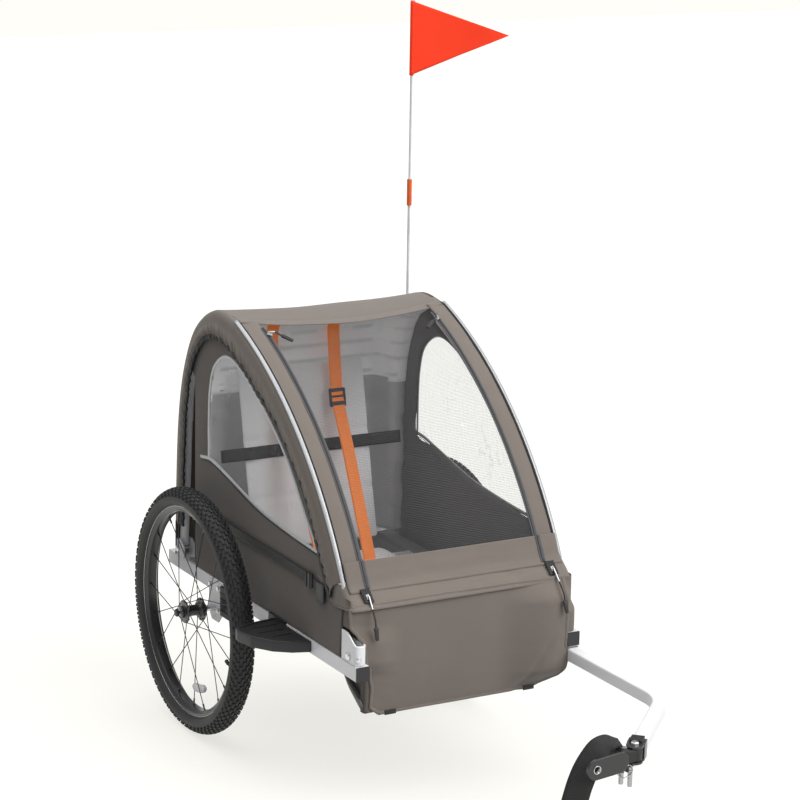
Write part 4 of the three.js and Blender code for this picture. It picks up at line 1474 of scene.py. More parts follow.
def zip_coil(path, ups):
    """The zip's closed teeth: a flat bead, notched at each tooth."""
    fine = along(path, 420)
    normals = [ups[min(len(ups) - 1, round(i * (len(ups) - 1) / 420))] for i in range(421)]

    def section(share):
        notch = 1.0 if round(share * 420) % 2 else 0.72
        return bar(4.6 * notch, 2.0 * notch, 0.7, 2)

    return sweep("coil", fine, normals, section)


FOOT_LINE = [(-514, 481), (-523, 462), (-532, 444), (-541, 433)]
BAND_LINE = [(-530, 446), (-543, 434), (-557, 421), (-571, 408)]


def seam_sheet(name, point, columns, rows, size, hem):
    """A band of cloth and the sewn hem that runs along its lower edge."""
    band = piece(name, grid(name, point, columns, rows, size), CLOTH)
    thicken(band, 1.4)
    path = [point(k / 90, 1.0) + Vector((0, -0.0008, -0.0006)) for k in range(91)]
    ups = [Vector((0, -0.86, 0.5))] * 91
    edge = piece(f"{name}_hem", sweep("hem", path, ups, domed(hem, 2.0)), CLOTH)
    return [band, edge]


def cover_foot():
    """Two plain cloth bands below the net, each lying over the one below."""
    profile = smooth([(y, z, 0) for y, z in FOOT_LINE], 24)
    below = smooth([(y, z, 0) for y, z in BAND_LINE], 24)
    out = Vector((0, -0.86, 0.5))

    def flap(u, v):
        x = mix(-228.5, 228.5, u)
        place = profile[round(v * 24)]
        wander = 0.9 * ripple((x, 160 * v, 0), 60.0, 8.0)
        return at(x, place.x, place.y) + out * (3.4 + wander + 1.6 * v - cover_dip(x)) * MM

    corner = rounded([(-239, 70, 0), (-239, 0, 0), (236, 0, 0), (239, 70, 0)], 15, 10)
    around = along(corner, 110)

    def band(u, v):
        spot = around[round(u * 110)]
        place = below[round(v * 24)]
        wander = 1.3 * ripple((spot.x + spot.y, 150 * v, 4), 45.0, 2.0)
        bulge = 2.6 * ease(v) - cover_dip(spot.x) + wander
        side_share = min(1.0, spot.y / 70)
        flat = at(spot.x, place.x + spot.y + (1 - v) * 24 * side_share, place.y - 6.0 * side_share)
        return flat + out * bulge * MM * (1 - side_share)

    pieces = seam_sheet("cover_foot", flap, 72, 24, (0.47, 0.06), 6.0)
    pieces += seam_sheet("cover_band", band, 110, 24, (0.62, 0.06), 6.0)
    for side, sign in SIDES:
        u = 0.5 + sign * ZIP_X / 457
        path = [flap(u, k / 24) + out * 1.2 * MM for k in range(24)]
        raised = [p + out * 1.0 * MM for p in path]
        tape = sweep("tape", path, out, flat_strap(11, 1.0))
        pieces.append(piece(f"{side}_foot_tape", tape, ZIP_TAPE))
        coil = sweep("coil", raised, out, bar(4.2, 1.8, 0.7, 2))
        pieces.append(piece(f"{side}_foot_coil", coil, PLASTIC))
    return pieces


def cover_dip(x):
    """How far the cover's lower bands sink between the arches."""
    return 2.0 * (1 - (x / COVER_HALF) ** 2)


def build_zip_pulls():
    """Four sliders with their cords and rubber tags: two at the top of the zips, two at the bottom."""
    pieces = []
    for side, sign in SIDES:
        low_x = sign * (ZIP_X + 9)
        top = arch_point(sign * (ZIP_X - 3), ARCH_TOP + 3.4, 6.0)
        over = arch_up(ARCH_TOP + 3.4)
        inwards = Vector((-0.80 * sign, -0.52, -0.30)).normalized()
        ahead = -13.0 if sign > 0 else 0.0  # the panel stands further forward on the left
        lower = [at(low_x, -566, 424), at(low_x + 1, -577 + 0.5 * ahead, 408),
                 at(low_x + 2, -586 + ahead, 390), at(low_x + 3, -588 + 1.2 * ahead, 374)]
        upper = [
            top + inwards * step * MM + over * lift * MM
            for step, lift in ((0, 4), (9, 8), (18, 6), (25, 5))
        ]
        spots = [
            ("lower", at(low_x, -560, 427), Vector((0, -0.75, 0.66)), lower),
            ("upper", top, over, upper),
        ]
        slope = facing((0, -0.68, 0.73), Vector((1, 0, 0)))
        patch = block("patch", (30, 19, 2.2), 0.8, at(low_x, -557.5, 428.5), slope)
        pieces.append(piece(f"{side}_zip_patch", patch, BLACK_WEB))
        for word, place, out, cord_line in spots:
            hang = (cord_line[-1] - cord_line[-2]).normalized()
            turn = facing(out, hang)
            slider = join("slider", [
                block("body", (8, 12, 4.2), 1.2, place, turn, 0.8),
                block("bridge", (2.6, 9, 3.4), 1.0, place + out * 3.0 * MM, turn),
                rod("tab", place + out * 4.4 * MM, cord_line[1], 2.0, 10, 0.6),
            ])
            pieces.append(piece(f"{side}_{word}_slider", slider, STEEL))
            cord = sweep("cord", smooth(cord_line, 14), out, circle(1.6, 8))
            tag = block("tag", (9, 5, 25), 1.8, cord_line[-1] + hang * 10 * MM, facing(hang, out), 0.8)
            pieces.append(piece(f"{side}_{word}_pull", join("pull", [cord, tag], sharp=60), PLASTIC))
    return pieces


# ------------------------------------------------------------------ front panel and floor


# (height, half width) of the front panel's two edges: on the trailer's right it narrows behind the bracket,
# and on its left it passes in front of it.
PANEL_EDGE = {
    -1: [(201, 176), (216, 193), (252, 191), (291, 199), (308, 211), (344, 214),
         (360, 225), (376, 237), (413, 239)],
    1: [(201, 150), (207, 168), (215, 188), (225, 203), (243, 212), (262, 216),
        (276, 216), (284, 211), (335, 211), (413, 213)],
}


def panel_half_width(z, sign):
    points = PANEL_EDGE[sign]
    for (low, a), (high, b) in zip(points, points[1:]):
        if z <= high:
            return mix(a, b, ease((z - low) / (high - low)) * 0.5 + 0.5 * (z - low) / (high - low))
    return points[-1][1]


def panel_floor(x):
    """The lowest height that the front panel reaches at x, which rises towards its left corner."""
    points = PANEL_EDGE[1]
    for (low, a), (high, b) in zip(points, points[1:]):
        if a <= x <= b and b > a:
            return mix(low, high, (x - a) / (b - a))
    return points[0][0] if x < points[0][1] else points[5][0]


def panel_forward(x, z):
    """How far the panel stands forward, to clear the left rail and receiver and the right arch's foot."""
    left = 29.0 * ease((x - 70) / 125) * ease((z - 203) / 38) * (1 - 0.80 * ease((z - 372) / 45))
    right = 13.0 * ease((-x - 130) / 65) * ease((z - 270) / 38) * (1 - ease((z - 340) / 40))
    return left + right


def build_front_panel():
    rows = 64
    columns = 80

    def point(u, v):
        z = mix(PANEL_BOTTOM, PANEL_TOP + 6, v)
        right, left = panel_half_width(z, -1), panel_half_width(z, 1)
        x = mix(-right, left, u)
        rim = abs(2 * u - 1)
        belly = 8.0 * (1 - rim**4) * math.sin(math.pi * min(1.0, v * 1.05)) ** 0.6
        wander = 1.8 * ripple((x * 0.7, z, 0), 80.0, 4.0) + 0.8 * ripple((x, z * 2, 0), 22.0, 6.0) * rim**3
        fold = 2.6 * math.exp(-(((x - 178 + 0.55 * (300 - z)) / 9) ** 2)) * ease((340 - z) / 60)
        foot = 5.0 * (1 - v) ** 6
        return at(x, PANEL_Y - belly - wander + foot + fold - panel_forward(x, z), z)

    panel = piece("front_panel_cloth", grid("panel", point, columns, rows, (0.46, 0.21)), CLOTH)
    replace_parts(panel, "front_panel")
    thicken(panel, 2.0)
    for word, edge, width in (("bottom", 0, 8), ("right", 1, 7), ("left", 2, 7)):
        path = []
        for k in range(91):
            spot = (point(k / 90, 0.0), point(0.0, k / 90 * 0.985), point(1.0, k / 90 * 0.985))[edge]
            path.append(spot + Vector((0, -0.0012, 0)))
        hem = sweep("hem", path, Vector((0, -1, 0.1)), domed(width, 2.6))
        piece(f"front_panel_{word}_hem", hem, CLOTH)
    for side, sign in SIDES:
        tab = block("tab", (24, 3.0, 9), 1.0, at(-1 + sign * 150, PANEL_Y + 1.5, PANEL_BOTTOM - 1))
        piece(f"{side}_panel_tab", tab, BLACK_WEB)
        # Painted shade: the right corner, on the side away from the light, takes the darker cloth, and the
        # left one the plain cabin cloth.
        corner_material = SHADED_CLOTH if sign < 0 else CLOTH
        corner = piece(f"{side}_corner_cloth", corner_mesh(point, sign), corner_material)
        thicken(corner, 1.2)


def corner_mesh(panel_point, sign):
    """The cloth between the front panel's side seam and the side cloth, round or behind the bracket."""
    panel_edge = 0.0 if sign < 0 else 1.0
    panel_rise = PANEL_TOP + 6 - PANEL_BOTTOM
    top = 426 if sign < 0 else 414

    def plan_line(start, z):
        """The cloth's line in plan: inside the rail, then round the bracket, then free above it."""
        if sign < 0:
            low = [(204, -566), (206, -561), (206, -556), (206, -552)]
            tucked = [(214.8, -574), (214.6, -540), (220, -532), (236, -529)]
            free = [(236.6, -566), (236.8, -556), (236.6, -544), (236.4, -520)]
            above = ease((z - 363) / 9)
        else:
            edge = min(209.0, start.x + 2.0)
            low = [(edge, mix(start.y, -550, share)) for share in (0.05, 0.3, 0.6, 1.0)]
            tucked = [(229, -593), (240, -577), (247.5, -562), (247, -520)]
            free = [(230, -578), (236, -568), (237, -556), (236.4, -520)]
            above = ease((z - 346) / 22)
        over_rail = ease((z - 303) / 6)
        line = [start]
        for a, b, c in zip(low, tucked, free):
            near = Vector((*a, 0)).lerp(Vector((*b, 0)), over_rail)
            line.append(near.lerp(Vector((*c, 0)), above))
        return along(rounded(line, 8, 4), 40)

    def point(u, v):
        z = mix(PANEL_BOTTOM + 4, top, v)
        spot = panel_point(panel_edge, min(1.0, (z - PANEL_BOTTOM) / panel_rise))
        start = Vector(((spot.x - MIDDLE_X) / MM * sign, (spot.y - AXLE_Y) / MM + 1.0, 0))
        place = plan_line(start, z)[round(u * 40)]
        wander = 1.0 * ripple((60 * u, z, sign), 26.0, 3.0) * math.sin(math.pi * u)
        return at(sign * (place.x - wander), place.y - wander, z)

    return grid("corner", point, 40, 60, (0.12, 0.22))


def build_floor():
    """The floor: a sagging cloth trough, which slopes down to the foot well behind the front panel."""
    line = [(222, 279), (60, 279), (-180, 279), (-425, 279), (-500, 233), (-545, 206), (-561, 203)]
    profile = smooth([(y, z, 0) for y, z in line], 70)

    def point(u, v):
        place = profile[round(v * 70)]
        x = mix(-211, 211, u)
        sag = 3.0 * (1 - (x / 211) ** 2) * math.sin(math.pi * min(1.0, v * 1.3))
        sag += 1.6 * ripple((x, place.x, 0), 70.0)
        rise = 26.0 * max(0.0, (abs(x) - 205) / 6)
        level = min(place.y - sag + rise, 304)
        if place.x < -470:
            level = max(level, panel_floor(x) + 3)
        return at(x, place.x, level)

    floor = piece("floor_cloth_sheet", grid("floor", point, 44, 70, (0.47, 0.85)), FLOOR_CLOTH)
    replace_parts(floor, "floor_tub")
    thicken(floor, 2.0)
    for side, sign in SIDES:
        cheek_mesh = grid("cheek", lambda u, v: cheek_point(profile, u, v, sign), 30, 8, (0.2, 0.08))
        # The foot well's sides take the darker cloth that paints their shade.
        cheek = piece(f"{side}_footwell_side", cheek_mesh, SHADED_CLOTH, slot="floor_fabric")
        thicken(cheek, 1.4)
        over = along([(208.5, 297, 0), (210.3, 309.4, 0), (223, 310.4, 0), (235, 313, 0)], 16)

        def rail_point(u, v):
            place = over[round(v * 16)]
            rise = 0.9 * ripple((600 * u, 40 * v, sign), 45.0)
            return at(sign * place.x, mix(-530, 150, u), place.y + rise)

        rail_mesh = grid("rail_lining", rail_point, 60, 16, (0.68, 0.04))
        lining = piece(f"{side}_rail_lining", rail_mesh, FLOOR_CLOTH)
        thicken(lining, 1.0)


def cheek_point(profile, u, v, sign):
    """The foot well's side, from its sloping bottom up to the rail."""
    low = profile[round(mix(38, 70, u))]
    top = RAIL_BOTTOM - 1
    bulge = 2.0 * ripple((low.x, 60 * v, sign), 30.0)
    inset = 1.0 - 0.10 * (1 - v) * ease((u - 0.4) / 0.6)
    bottom = max(low.y, panel_floor(sign * 207) + 3) if low.x < -470 else low.y
    return at(sign * (207 + 0.5 * bulge) * inset, low.x, mix(min(bottom, top - 2), top, v))


# ------------------------------------------------------------------ seat


def inflate(obj, pressure, cap):
    """Swells a pad by a short cloth simulation, in which no point moves further than cap millimetres."""
    rest = [v.co.copy() for v in obj.data.vertices]
    cloth = obj.modifiers.new("cloth", "CLOTH")
    cloth.settings.quality = 5
    cloth.settings.use_pressure = True
    cloth.settings.uniform_pressure_force = pressure
    cloth.settings.effector_weights.gravity = 0
    cloth.collision_settings.use_collision = False
    for step in range(1, 21):
        bpy.context.scene.frame_set(step)
    swollen = evaluated(obj)
    obj.modifiers.clear()
    for v, start in zip(swollen.vertices, rest):
        move = v.co - start
        if move.length > cap * MM:
            v.co = start + move.normalized() * cap * MM
    obj.data = swollen
    bpy.context.scene.frame_set(1)
    soften = obj.modifiers.new("soften", "SMOOTH")
    soften.iterations = 3
    finer = obj.modifiers.new("finer", "SUBSURF")
    finer.levels = 1
    obj.data = evaluated(obj)
    obj.modifiers.clear()
    obj.data.shade_smooth()
    return obj


def evaluated(obj):
    graph = bpy.context.evaluated_depsgraph_get()
    return bpy.data.meshes.new_from_object(obj.evaluated_get(graph))


def cushion_mesh(name, place, thickness):
    """A pad's first shape: a rounded slab, thinner at its edge. place turns (u, v, height) into a point."""
    columns, rows = 28, 32
    verts = []
    faces = []
    for level in (-1, 1):
        for j in range(rows + 1):
            for i in range(columns + 1):
                u, v = i / columns, j / rows
                edge = min(u, 1 - u, v, 1 - v)
                puff = 0.25 + 0.75 * ease(edge / 0.10)
                verts.append(place(u, v, level * thickness / 2 * puff))
    layer = (rows + 1) * (columns + 1)
    for j in range(rows):
        for i in range(columns):
            a = j * (columns + 1) + i
            b, c, d = a + 1, a + columns + 2, a + columns + 1
            faces.append((d, c, b, a))
            faces.append((layer + a, layer + b, layer + c, layer + d))
    rim = (
        [i for i in range(columns)]
        + [j * (columns + 1) + columns for j in range(rows)]
        + [rows * (columns + 1) + i for i in range(columns, 0, -1)]
        + [j * (columns + 1) for j in range(rows, 0, -1)]
    )
    for a, b in zip(rim, rim[1:] + rim[:1]):
        faces.append((a, b, layer + b, layer + a))
    return from_faces(name, verts, faces)


def channel(obj, lines, width, depth, normal):
    """Presses sewn channels into a pad's front. lines holds (start, end) pairs of points."""
    for v in obj.data.vertices:
        for start, end in lines:
            run = end - start
            share = min(1.0, max(0.0, (v.co - start).dot(run) / run.length_squared))
            gap = v.co - start - run * share
            gap -= normal * gap.dot(normal)
            v.co -= normal * depth * MM * math.exp(-((gap.length / (width * MM)) ** 2))
    return obj


def build_seat():
    low, high = span("seat_base", Y)
    half = span("seat_base", X)[1] - 5
    z = sum(span("seat_base", Z)) / 2

    def base_place(u, v, h):
        y = mix(low + 5, high - 4, v)
        nose = 7.0 * ease((0.16 - v) / 0.16)
        return at(mix(-half, half, u), y, z + h - nose * 0.4)

    base = piece("seat_base_cushion", cushion_mesh("seat_base", base_place, 17), SEAT_CLOTH)
    inflate(base, 4.0, 6.0)
    across = [(at(-half, y, z + 12), at(half, y, z + 12)) for y in (-140, -62)]
    channel(base, across, 5.0, 3.2, UP)
    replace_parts(base, "seat_base")
    pieces = [base]
    foot, head = at(0, 27, 329), at(0, 111, 722)
    lean = (head - foot).normalized()
    front = Vector((0, -lean.z, lean.y))
    wide = span("seat_back", X)[1] - 5

    def back_place(u, v, h):
        hollow = 7.0 * math.sin(math.pi * v) * (1 - (2 * u - 1) ** 2)
        spot = foot.lerp(head, mix(0.015, 0.985, v)) + Vector((mix(-wide, wide, u) * MM, 0, 0))
        return spot + front * (h - hollow) * MM

    back = piece("seat_back_cushion", cushion_mesh("seat_back", back_place, 11), SEAT_CLOTH)
    inflate(back, 3.0, 7.0)
    rows = []
    for share in (0.30, 0.60):
        spot = foot.lerp(head, share)
        rows.append((spot + Vector((-wide * MM, 0, 0)), spot + Vector((wide * MM, 0, 0))))
    channel(back, rows, 5.0, 3.0, front)
    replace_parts(back, "seat_back")
    pieces.append(back)

    def skirt_point(u, v):
        y = low - 1 - 5 * v + 2.0 * ripple((380 * u, 40 * v, 5), 50.0)
        return at(mix(-206, 206, u), y, mix(322, 281, v))

    skirt = piece("seat_front_skirt", grid("skirt", skirt_point, 50, 8, (0.42, 0.045)), INNER_CLOTH)
    thicken(skirt, 1.2)
    pieces += build_harness(front)
    return pieces


def build_harness(front):
    """Orange shoulder straps with ladder locks, and the grey linings behind the seat."""
    pieces = []
    for side, sign in SIDES:
        line = [
            at(sign * x, y, z)
            for x, y, z in (
                (70, 72, 822), (70, 95, 784), (70, 93, 742), (65, 76, 690), (62, 58, 634),
                (59, 6, 545), (56, -46, 450), (53, -96, 360), (51, -112, 336), (48, -150, 332),
            )
        ]
        path = smooth(line, 90)
        ups = []
        for a, b in zip(path, path[1:]):
            run = (b - a).normalized()
            ups.append(Vector((0, run.z, -run.y)))
        ups.append(ups[-1])
        strap = piece(f"{side}_shoulder_webbing", sweep("strap", path, ups, flat_strap(27, 2.0)), ORANGE)
        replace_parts(strap, f"{side}_shoulder_strap")
        spot = min(path, key=lambda p: abs(p.z - 0.640))
        turn = facing(front, UP)
        lock = join("lock", [
            block("side", (4, 36, 7), 1.3, spot + Vector((16 * MM, 0, 0)), turn),
            block("side", (4, 36, 7), 1.3, spot + Vector((-16 * MM, 0, 0)), turn),
            block("bar", (34, 7, 7), 1.3, spot + Vector((0, 4, 15)) * MM, turn),
            block("bar", (34, 4, 4), 1.3, spot + Vector((0, -2, 3)) * MM, turn),
            block("bar", (34, 11, 8), 1.3, spot - Vector((0, 4, 13)) * MM, turn),
        ])
        pieces += [strap, piece(f"{side}_ladder_lock", lock, PLASTIC)]

    line = [(150, 330), (150, 600), (136, 700), (122, 745), (104, 784), (85, 806), (44, 828)]
    back_line = along([(y, z, 0) for y, z in line], 60)
    for word, material, low, high, wrinkle in (
        ("upper", LINING_CLOTH, 0.60, 1.0, 2.0),
        ("lower", INNER_CLOTH, 0.0, 0.62, 7.0),
    ):

        def lining(u, v):
            x = mix(-235.4, 235.4, u)
            place = back_line[round(mix(low, high, v) * 60)]
            ahead = 58.0 * ease((abs(x) - 184) / 28)  # the sides lie ahead of the folded hoop's legs
            wave = wrinkle * ripple((x, place.y * 1.7, 0), 42.0, 9.0)
            return at(x, place.x + wave - ahead, place.y)

        cloth = piece(f"rear_lining_{word}", grid("lining", lining, 60, 30, (0.46, 0.25)), material)
        thicken(cloth, 1.0)
        pieces.append(cloth)
    band_path = [at(mix(-200, 212, k / 40), 62 + 2.0 * ripple((k * 9, 0, 0), 40.0), 542) for k in range(41)]
    band = sweep("band", band_path, Vector((0, -1, 0.15)), flat_strap(26, 2.4))
    pieces.append(piece("seat_back_band", band, BLACK_WEB))
    return pieces


# ------------------------------------------------------------------ tow arm and hitch

ARM_SIZE = 25.0
PIVOT_X, PIVOT_Y = 228.0, -490.0
BEND_Y, BEND_REACH = -891.0, 42.0
ARM_END = (57.0, -1062.0)
KINGPIN = (42.86, -1076.14)


def build_tow_arm():
    line = [at(PIVOT_X, PIVOT_Y + 16, ARM_Z), at(PIVOT_X, BEND_Y, ARM_Z), at(*ARM_END, ARM_Z)]
    path = rounded(line, BEND_REACH * 2.4 * MM, 16)
    tube = sweep("tube", path, UP, bar(ARM_SIZE, ARM_SIZE, 3.4, 4), sharp=50)
    meshes = []
    ahead = (at(*ARM_END, ARM_Z) - at(PIVOT_X, BEND_Y, ARM_Z)).normalized()
    across = ahead.cross(UP)
    king = at(*KINGPIN, ARM_Z)
    for level in (14.0, -14.0):
        outline = []
        for k in range(13):
            turn = math.radians(-90 + 180 * k / 12)
            outline.append(king + ahead * 15 * math.cos(turn) * MM + across * 15 * math.sin(turn) * MM)
        back = [king - ahead * 34 * MM + across * 14 * MM, king - ahead * 34 * MM - across * 14 * MM]
        base = [p + UP * (level - 2) * MM for p in outline + back]
        meshes.append(plate("prism", base, UP * 4 * MM, 0.5, 2, 0.8))
    arm = piece("tow_arm_tube", tube, WHITE, "tow_arm")
    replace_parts(arm, "tow_arm")
    for k in range(5):
        place = king - ahead * (32 - 5.4 * k) * MM + UP * 18.5 * MM
        meshes.append(block("rib", (23, 2.8, 6), 0.7, place, facing(UP, ahead)))
    for edge in (-1, 1):
        place = king - ahead * 22 * MM + across * edge * 14.6 * MM
        meshes.append(block("wall", (2.6, 24, 32), 0.8, place, facing(UP, ahead)))
    piece("hitch_clevis", join("clevis", meshes, sharp=40), BLACK_METAL, "tow_arm", "coupler_black")
    pin = join("kingpin", [
        rod("pin", king + UP * 19 * MM, king - UP * 21 * MM, 4.0),
        hex_head("head", king + UP * 16.2 * MM, (0, 0, 1), 13, 5.3),
        hex_head("nut", king - UP * 16.2 * MM, (0, 0, -1), 13, 5.5),
    ], sharp=30)
    piece("kingpin_bolt", pin, STEEL, "tow_arm")
    plug = block("plug", (21, 2.5, 21), 0.8, at(*ARM_END, ARM_Z) + ahead * 0.4 * MM, facing(UP, ahead))
    piece("arm_end_plug", plug, PLASTIC, "tow_arm")


def build_hitch():
    """The serrated clamp and rubber block behind the eye plate, its safety strap, ring and hanging pins."""
    face = Vector((-0.62, -0.74, 0.25)).normalized()
    route = [(17, -1069, 284), (6, -1068, 287), (-8, -1067, 286), (-27, -1068, 275), (-47, -1068, 251),
             (-60, -1068, 225), (-67, -1066, 199), (-71, -1062, 174)]
    path = smooth([at(*p) for p in route], 48)
    ups = []
    for k in range(len(path)):
        share = k / (len(path) - 1)
        curl = Vector((0.0, -0.25, 0.97)).lerp(face, ease((share - 0.02) / 0.22))
        ups.append(curl.normalized())

    def belt_section(share):
        return flat_strap(mix(24.0, 45.0, ease(share / 0.3)) - 7.0 * ease((share - 0.93) / 0.07), 3.4)

    belt = piece("hitch_safety_strap", sweep("strap", path, ups, belt_section), BLACK_WEB, "hitch_coupler")
    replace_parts(belt, "safety_strap")
    king = at(*KINGPIN, ARM_Z)
    low_x = span("hitch_flex_joint", X)[0]
    body = join("flex", [
        block("flex", (KINGPIN[0] - low_x, 26, 23), 3.0, at((KINGPIN[0] + low_x) / 2, KINGPIN[1], ARM_Z)),
        rod("flex_end", king - UP * 11.5 * MM, king + UP * 11.5 * MM, 13.8, 32, 1.5),
        block("shoulder", (15, 27, 27), 2.4, at(17, KINGPIN[1] - 0.5, ARM_Z + 1)),
    ], sharp=45)
    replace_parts(piece("hitch_flex_block", body, ELASTOMER, "hitch_flex_joint"), "hitch_flex_joint")
    clip = join("clip", [
        block("clip", (20, 30, 4), 1.2, at(9, KINGPIN[1] - 1, 247)),
        block("clip_lip", (4, 30, 11), 1.2, at(20, KINGPIN[1] - 1, 243)),
    ], sharp=45)
    piece("hitch_clip", clip, ELASTOMER, "hitch_flex_joint")
    build_eye_plate()
    centre = at(22, span("hitch_pin", Y)[0] + 3, 236)
    ring = []
    for k in range(41):
        turn = 2 * math.pi * k / 40
        ring.append(centre + Vector((15 * math.cos(turn), -1.5, 12 * math.sin(turn))) * MM)
    loop = sweep("ring", ring, Vector((0, 1, 0.01)), circle(1.2, 8), closed=True)
    meshes = dropper(35.5, 241, 204) + [loop]
    piece("hitch_pin_ring", join("ring", meshes, sharp=40), CHROME, "hitch_flex_joint")
    tip = join("tip", dropper(17, 240, 212), sharp=40)
    piece("hitch_pin_tip", tip, CHROME, "hitch_coupler")


def dropper(x, top, low):
    """A short hanging pin with a collar, below the hitch."""
    return [
        rod("dropper", at(x, KINGPIN[1], top), at(x, KINGPIN[1], low), 4.4, 20, 0.8),
        rod("collar", at(x, KINGPIN[1], top - 6), at(x, KINGPIN[1], top - 9), 5.4, 20, 0.5),
    ]


def build_eye_plate():
    """The coupler plate: a round-ended eye for the bicycle's axle, with a steel bush in its hole."""
    front_y = span("hitch_coupler_plate", Y)[0] + 0.1
    eye_low = span("hitch_coupler_plate", X)[0]
    eye = (eye_low + 19.0, 255.0)
    hoop = [
        (eye[0] + 19 * math.cos(math.radians(a)), eye[1] + 19 * math.sin(math.radians(a)))
        for a in range(80, 281, 8)
    ]
    outline = hoop + [(6, 241), (14, 245), (18, 252), (18, 268), (14, 275), (6, 278)]
    edge = smooth([(x, z, 0) for x, z in outline], 160, closed=True)[:-1]
    hole = [
        (eye[0] + 7.2 * math.cos(k * math.pi / 30), eye[1] + 7.2 * math.sin(k * math.pi / 30))
        for k in range(60)
    ]
    outer = polar([(p.x, p.y) for p in edge], eye, 120)
    inner = polar(hole, eye, 120)
    middle = front_y + 3.0
    mesh = ring_sheet("eye", outer, inner, 6, lambda spot, share: at(spot.x, middle, spot.y))
    plate = piece("hitch_eye_plate", mesh, BLACK_METAL, "hitch_coupler", "coupler_black")
    thicken(plate, 5.6)
    soft = plate.modifiers.new("edges", "BEVEL")
    soft.width = 1.0 * MM
    soft.segments = 3
    soft.limit_method = "ANGLE"
    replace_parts(plate, "hitch_coupler_plate")
    away = Vector((0, 1, 0))
    start = at(eye[0], front_y - 0.5, eye[1])
    rim = []
    for k in range(49):
        turn = 2 * math.pi * k / 48
        rim.append(start + Vector((6.9 * math.cos(turn), 3.3, 6.9 * math.sin(turn))) * MM)
    bush = sweep("bush", rim, away, bar(1.2, 7.4, 0.4), closed=True)
    pivot = at(9, front_y, ARM_Z)
    bolt = join("bolt", [
        rod("shank", pivot + away * 2 * MM, pivot + away * 24 * MM, 4.0),
        bush,
    ], sharp=40)
    piece("hitch_bush", bolt, STEEL, "hitch_coupler")


# ------------------------------------------------------------------ flag

POLE_X, POLE_Y = 252.0, 112.0


def build_flag():
    low, high = span("flag", Z)
    start, tip = span("flag", X)
    start += 4
    length = tip - start

    def point(u, v):
        reach = u * 0.995
        half = (high - low) / 2 * (1 - reach)
        z = (high + low) / 2 + (2 * v - 1) * half
        x = start + reach * length
        wave = 5.0 * reach * math.sin(5.2 * reach + 0.7 * v) + 1.4 * ripple((x, z, 0), 40.0)
        return at(x, POLE_Y + wave, z - 1.5 * reach)

    sheet_mesh = grid("flag", point, 44, 24, (length * MM, (high - low) * MM))
    pennant = piece("pennant", sheet_mesh, FLAG_CLOTH, "flag")
    thicken(pennant, 0.5)
    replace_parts(pennant, "flag")
    hem_path = [at(POLE_X, POLE_Y, mix(low, high, k / 20)) for k in range(21)]
    ups = [Vector((0, 1, 0))] * 21
    hem = sweep("hem", hem_path, ups, flag_hem_section())
    piece("pennant_hem", hem, FLAG_CLOTH, "flag")
    sleeve_low, sleeve_high = 1018.0, 1073.0
    sleeve = rod("sleeve", at(POLE_X, POLE_Y, sleeve_low), at(POLE_X, POLE_Y, sleeve_high), 5.2, 24, 0.8)
    piece("pole_sleeve", sleeve, SLEEVE, "flag_pole")


def flag_hem_section():
    """The sewn tube round the pole, which closes to a flat seam towards the cloth."""
    found = []
    for k in range(13):
        turn = math.radians(30 + 300 * k / 12)
        found.append((4.6 * MM * math.cos(turn), 4.6 * MM * math.sin(turn)))
    return found


# ------------------------------------------------------------------ what the cloth pieces are cut from

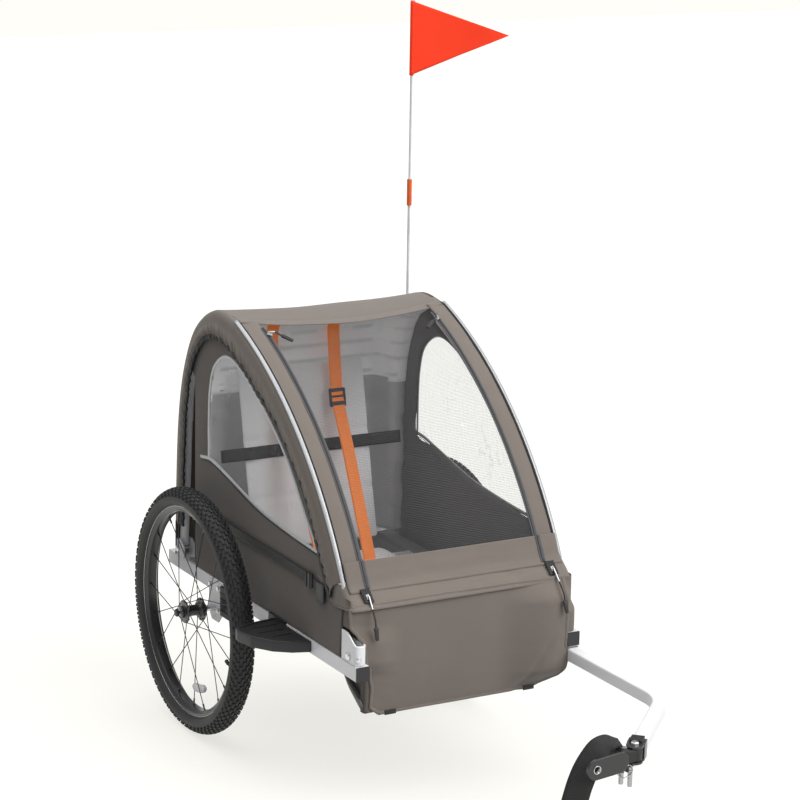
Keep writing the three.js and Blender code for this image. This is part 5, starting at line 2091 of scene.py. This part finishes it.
# Each sheet: how wide and long it is cut in millimetres, the share of that rectangle that it fills, how it
# is held, what holds it, and the pieces sewn on it.
SHEETS = {
    "hood_cloth": (720, 1450, 0.43, "stretched", ["rear_hoop"], []),
    "hood_back_skirt": (490, 73, None, "hung", ["hood_cloth"], []),
    "cover_net": (380, 600, None, "stretched", ["hood_cloth"], []),
    "cover_foot": (460, 56, None, "hung", ["cover_net"], ["cover_foot_hem"]),
    "cover_band": (620, 56, None, "hung", ["cover_foot"], ["cover_band_hem"]),
    "front_panel_cloth": (460, 220, 0.88, "stretched", ["cover_band"], ["front_panel_bottom_hem"]),
    "right_corner_cloth": (62, 230, 0.76, "hung", ["front_panel_cloth"], []),
    "left_corner_cloth": (105, 230, 0.84, "hung", ["front_panel_cloth"], []),
    "floor_cloth_sheet": (450, 860, None, "stretched", ["left_side_rail", "right_side_rail"], []),
    "rear_lining_upper": (480, 220, None, "hung", ["hood_cloth"], []),
    "rear_lining_lower": (480, 340, None, "hung", ["rear_lining_upper"], []),
    "seat_front_skirt": (415, 42, None, "hung", ["seat_base_cushion"], []),
}
SIDE_SHEETS = {
    "side_cloth": (700, 560, 0.47, "stretched", ["{}_side_rail"], ["{}_tension_buckle", "{}_tension_tab"]),
    "side_lining": (700, 560, 0.47, "stretched", ["{}_side_cloth"], []),
    "window_sheet": (500, 310, 0.57, "stretched", ["{}_side_cloth"], ["{}_window_piping_upper"]),
    "cover_border": (42, 600, None, "stretched", ["cover_net"], []),
    "footwell_side": (50, 300, 0.32, "hung", ["{}_side_rail"], []),
    "rail_lining": (680, 38, None, "laid", ["{}_side_rail"], []),
}


def declare_sheets():
    known = dict(SHEETS)
    for side, _ in SIDES:
        for word, (width, length, fills, held, holders, sewn) in SIDE_SHEETS.items():
            known[f"{side}_{word}"] = (
                width, length, fills, held,
                [name.format(side) for name in holders], [name.format(side) for name in sewn],
            )


# ------------------------------------------------------------------ the whole trailer


def build_all():
    set_camera()
    set_light()
    set_floor()
    finish_cad_nodes()
    for side, sign in SIDES:
        build_wheel(side, sign)
    build_tubes()
    build_brackets()
    build_axle_blocks()
    build_guards()
    build_rail_caps()
    folding = build_hood()
    folding += build_hood_trim()
    folding += build_sides()
    folding += build_cover()
    folding += build_zip_pulls()
    build_front_panel()
    build_floor()
    folding += build_seat()[1:]
    build_tow_arm()
    build_hitch()
    build_flag()
    declare_sheets()
    for obj in folding:
        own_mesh(obj)


build_all()
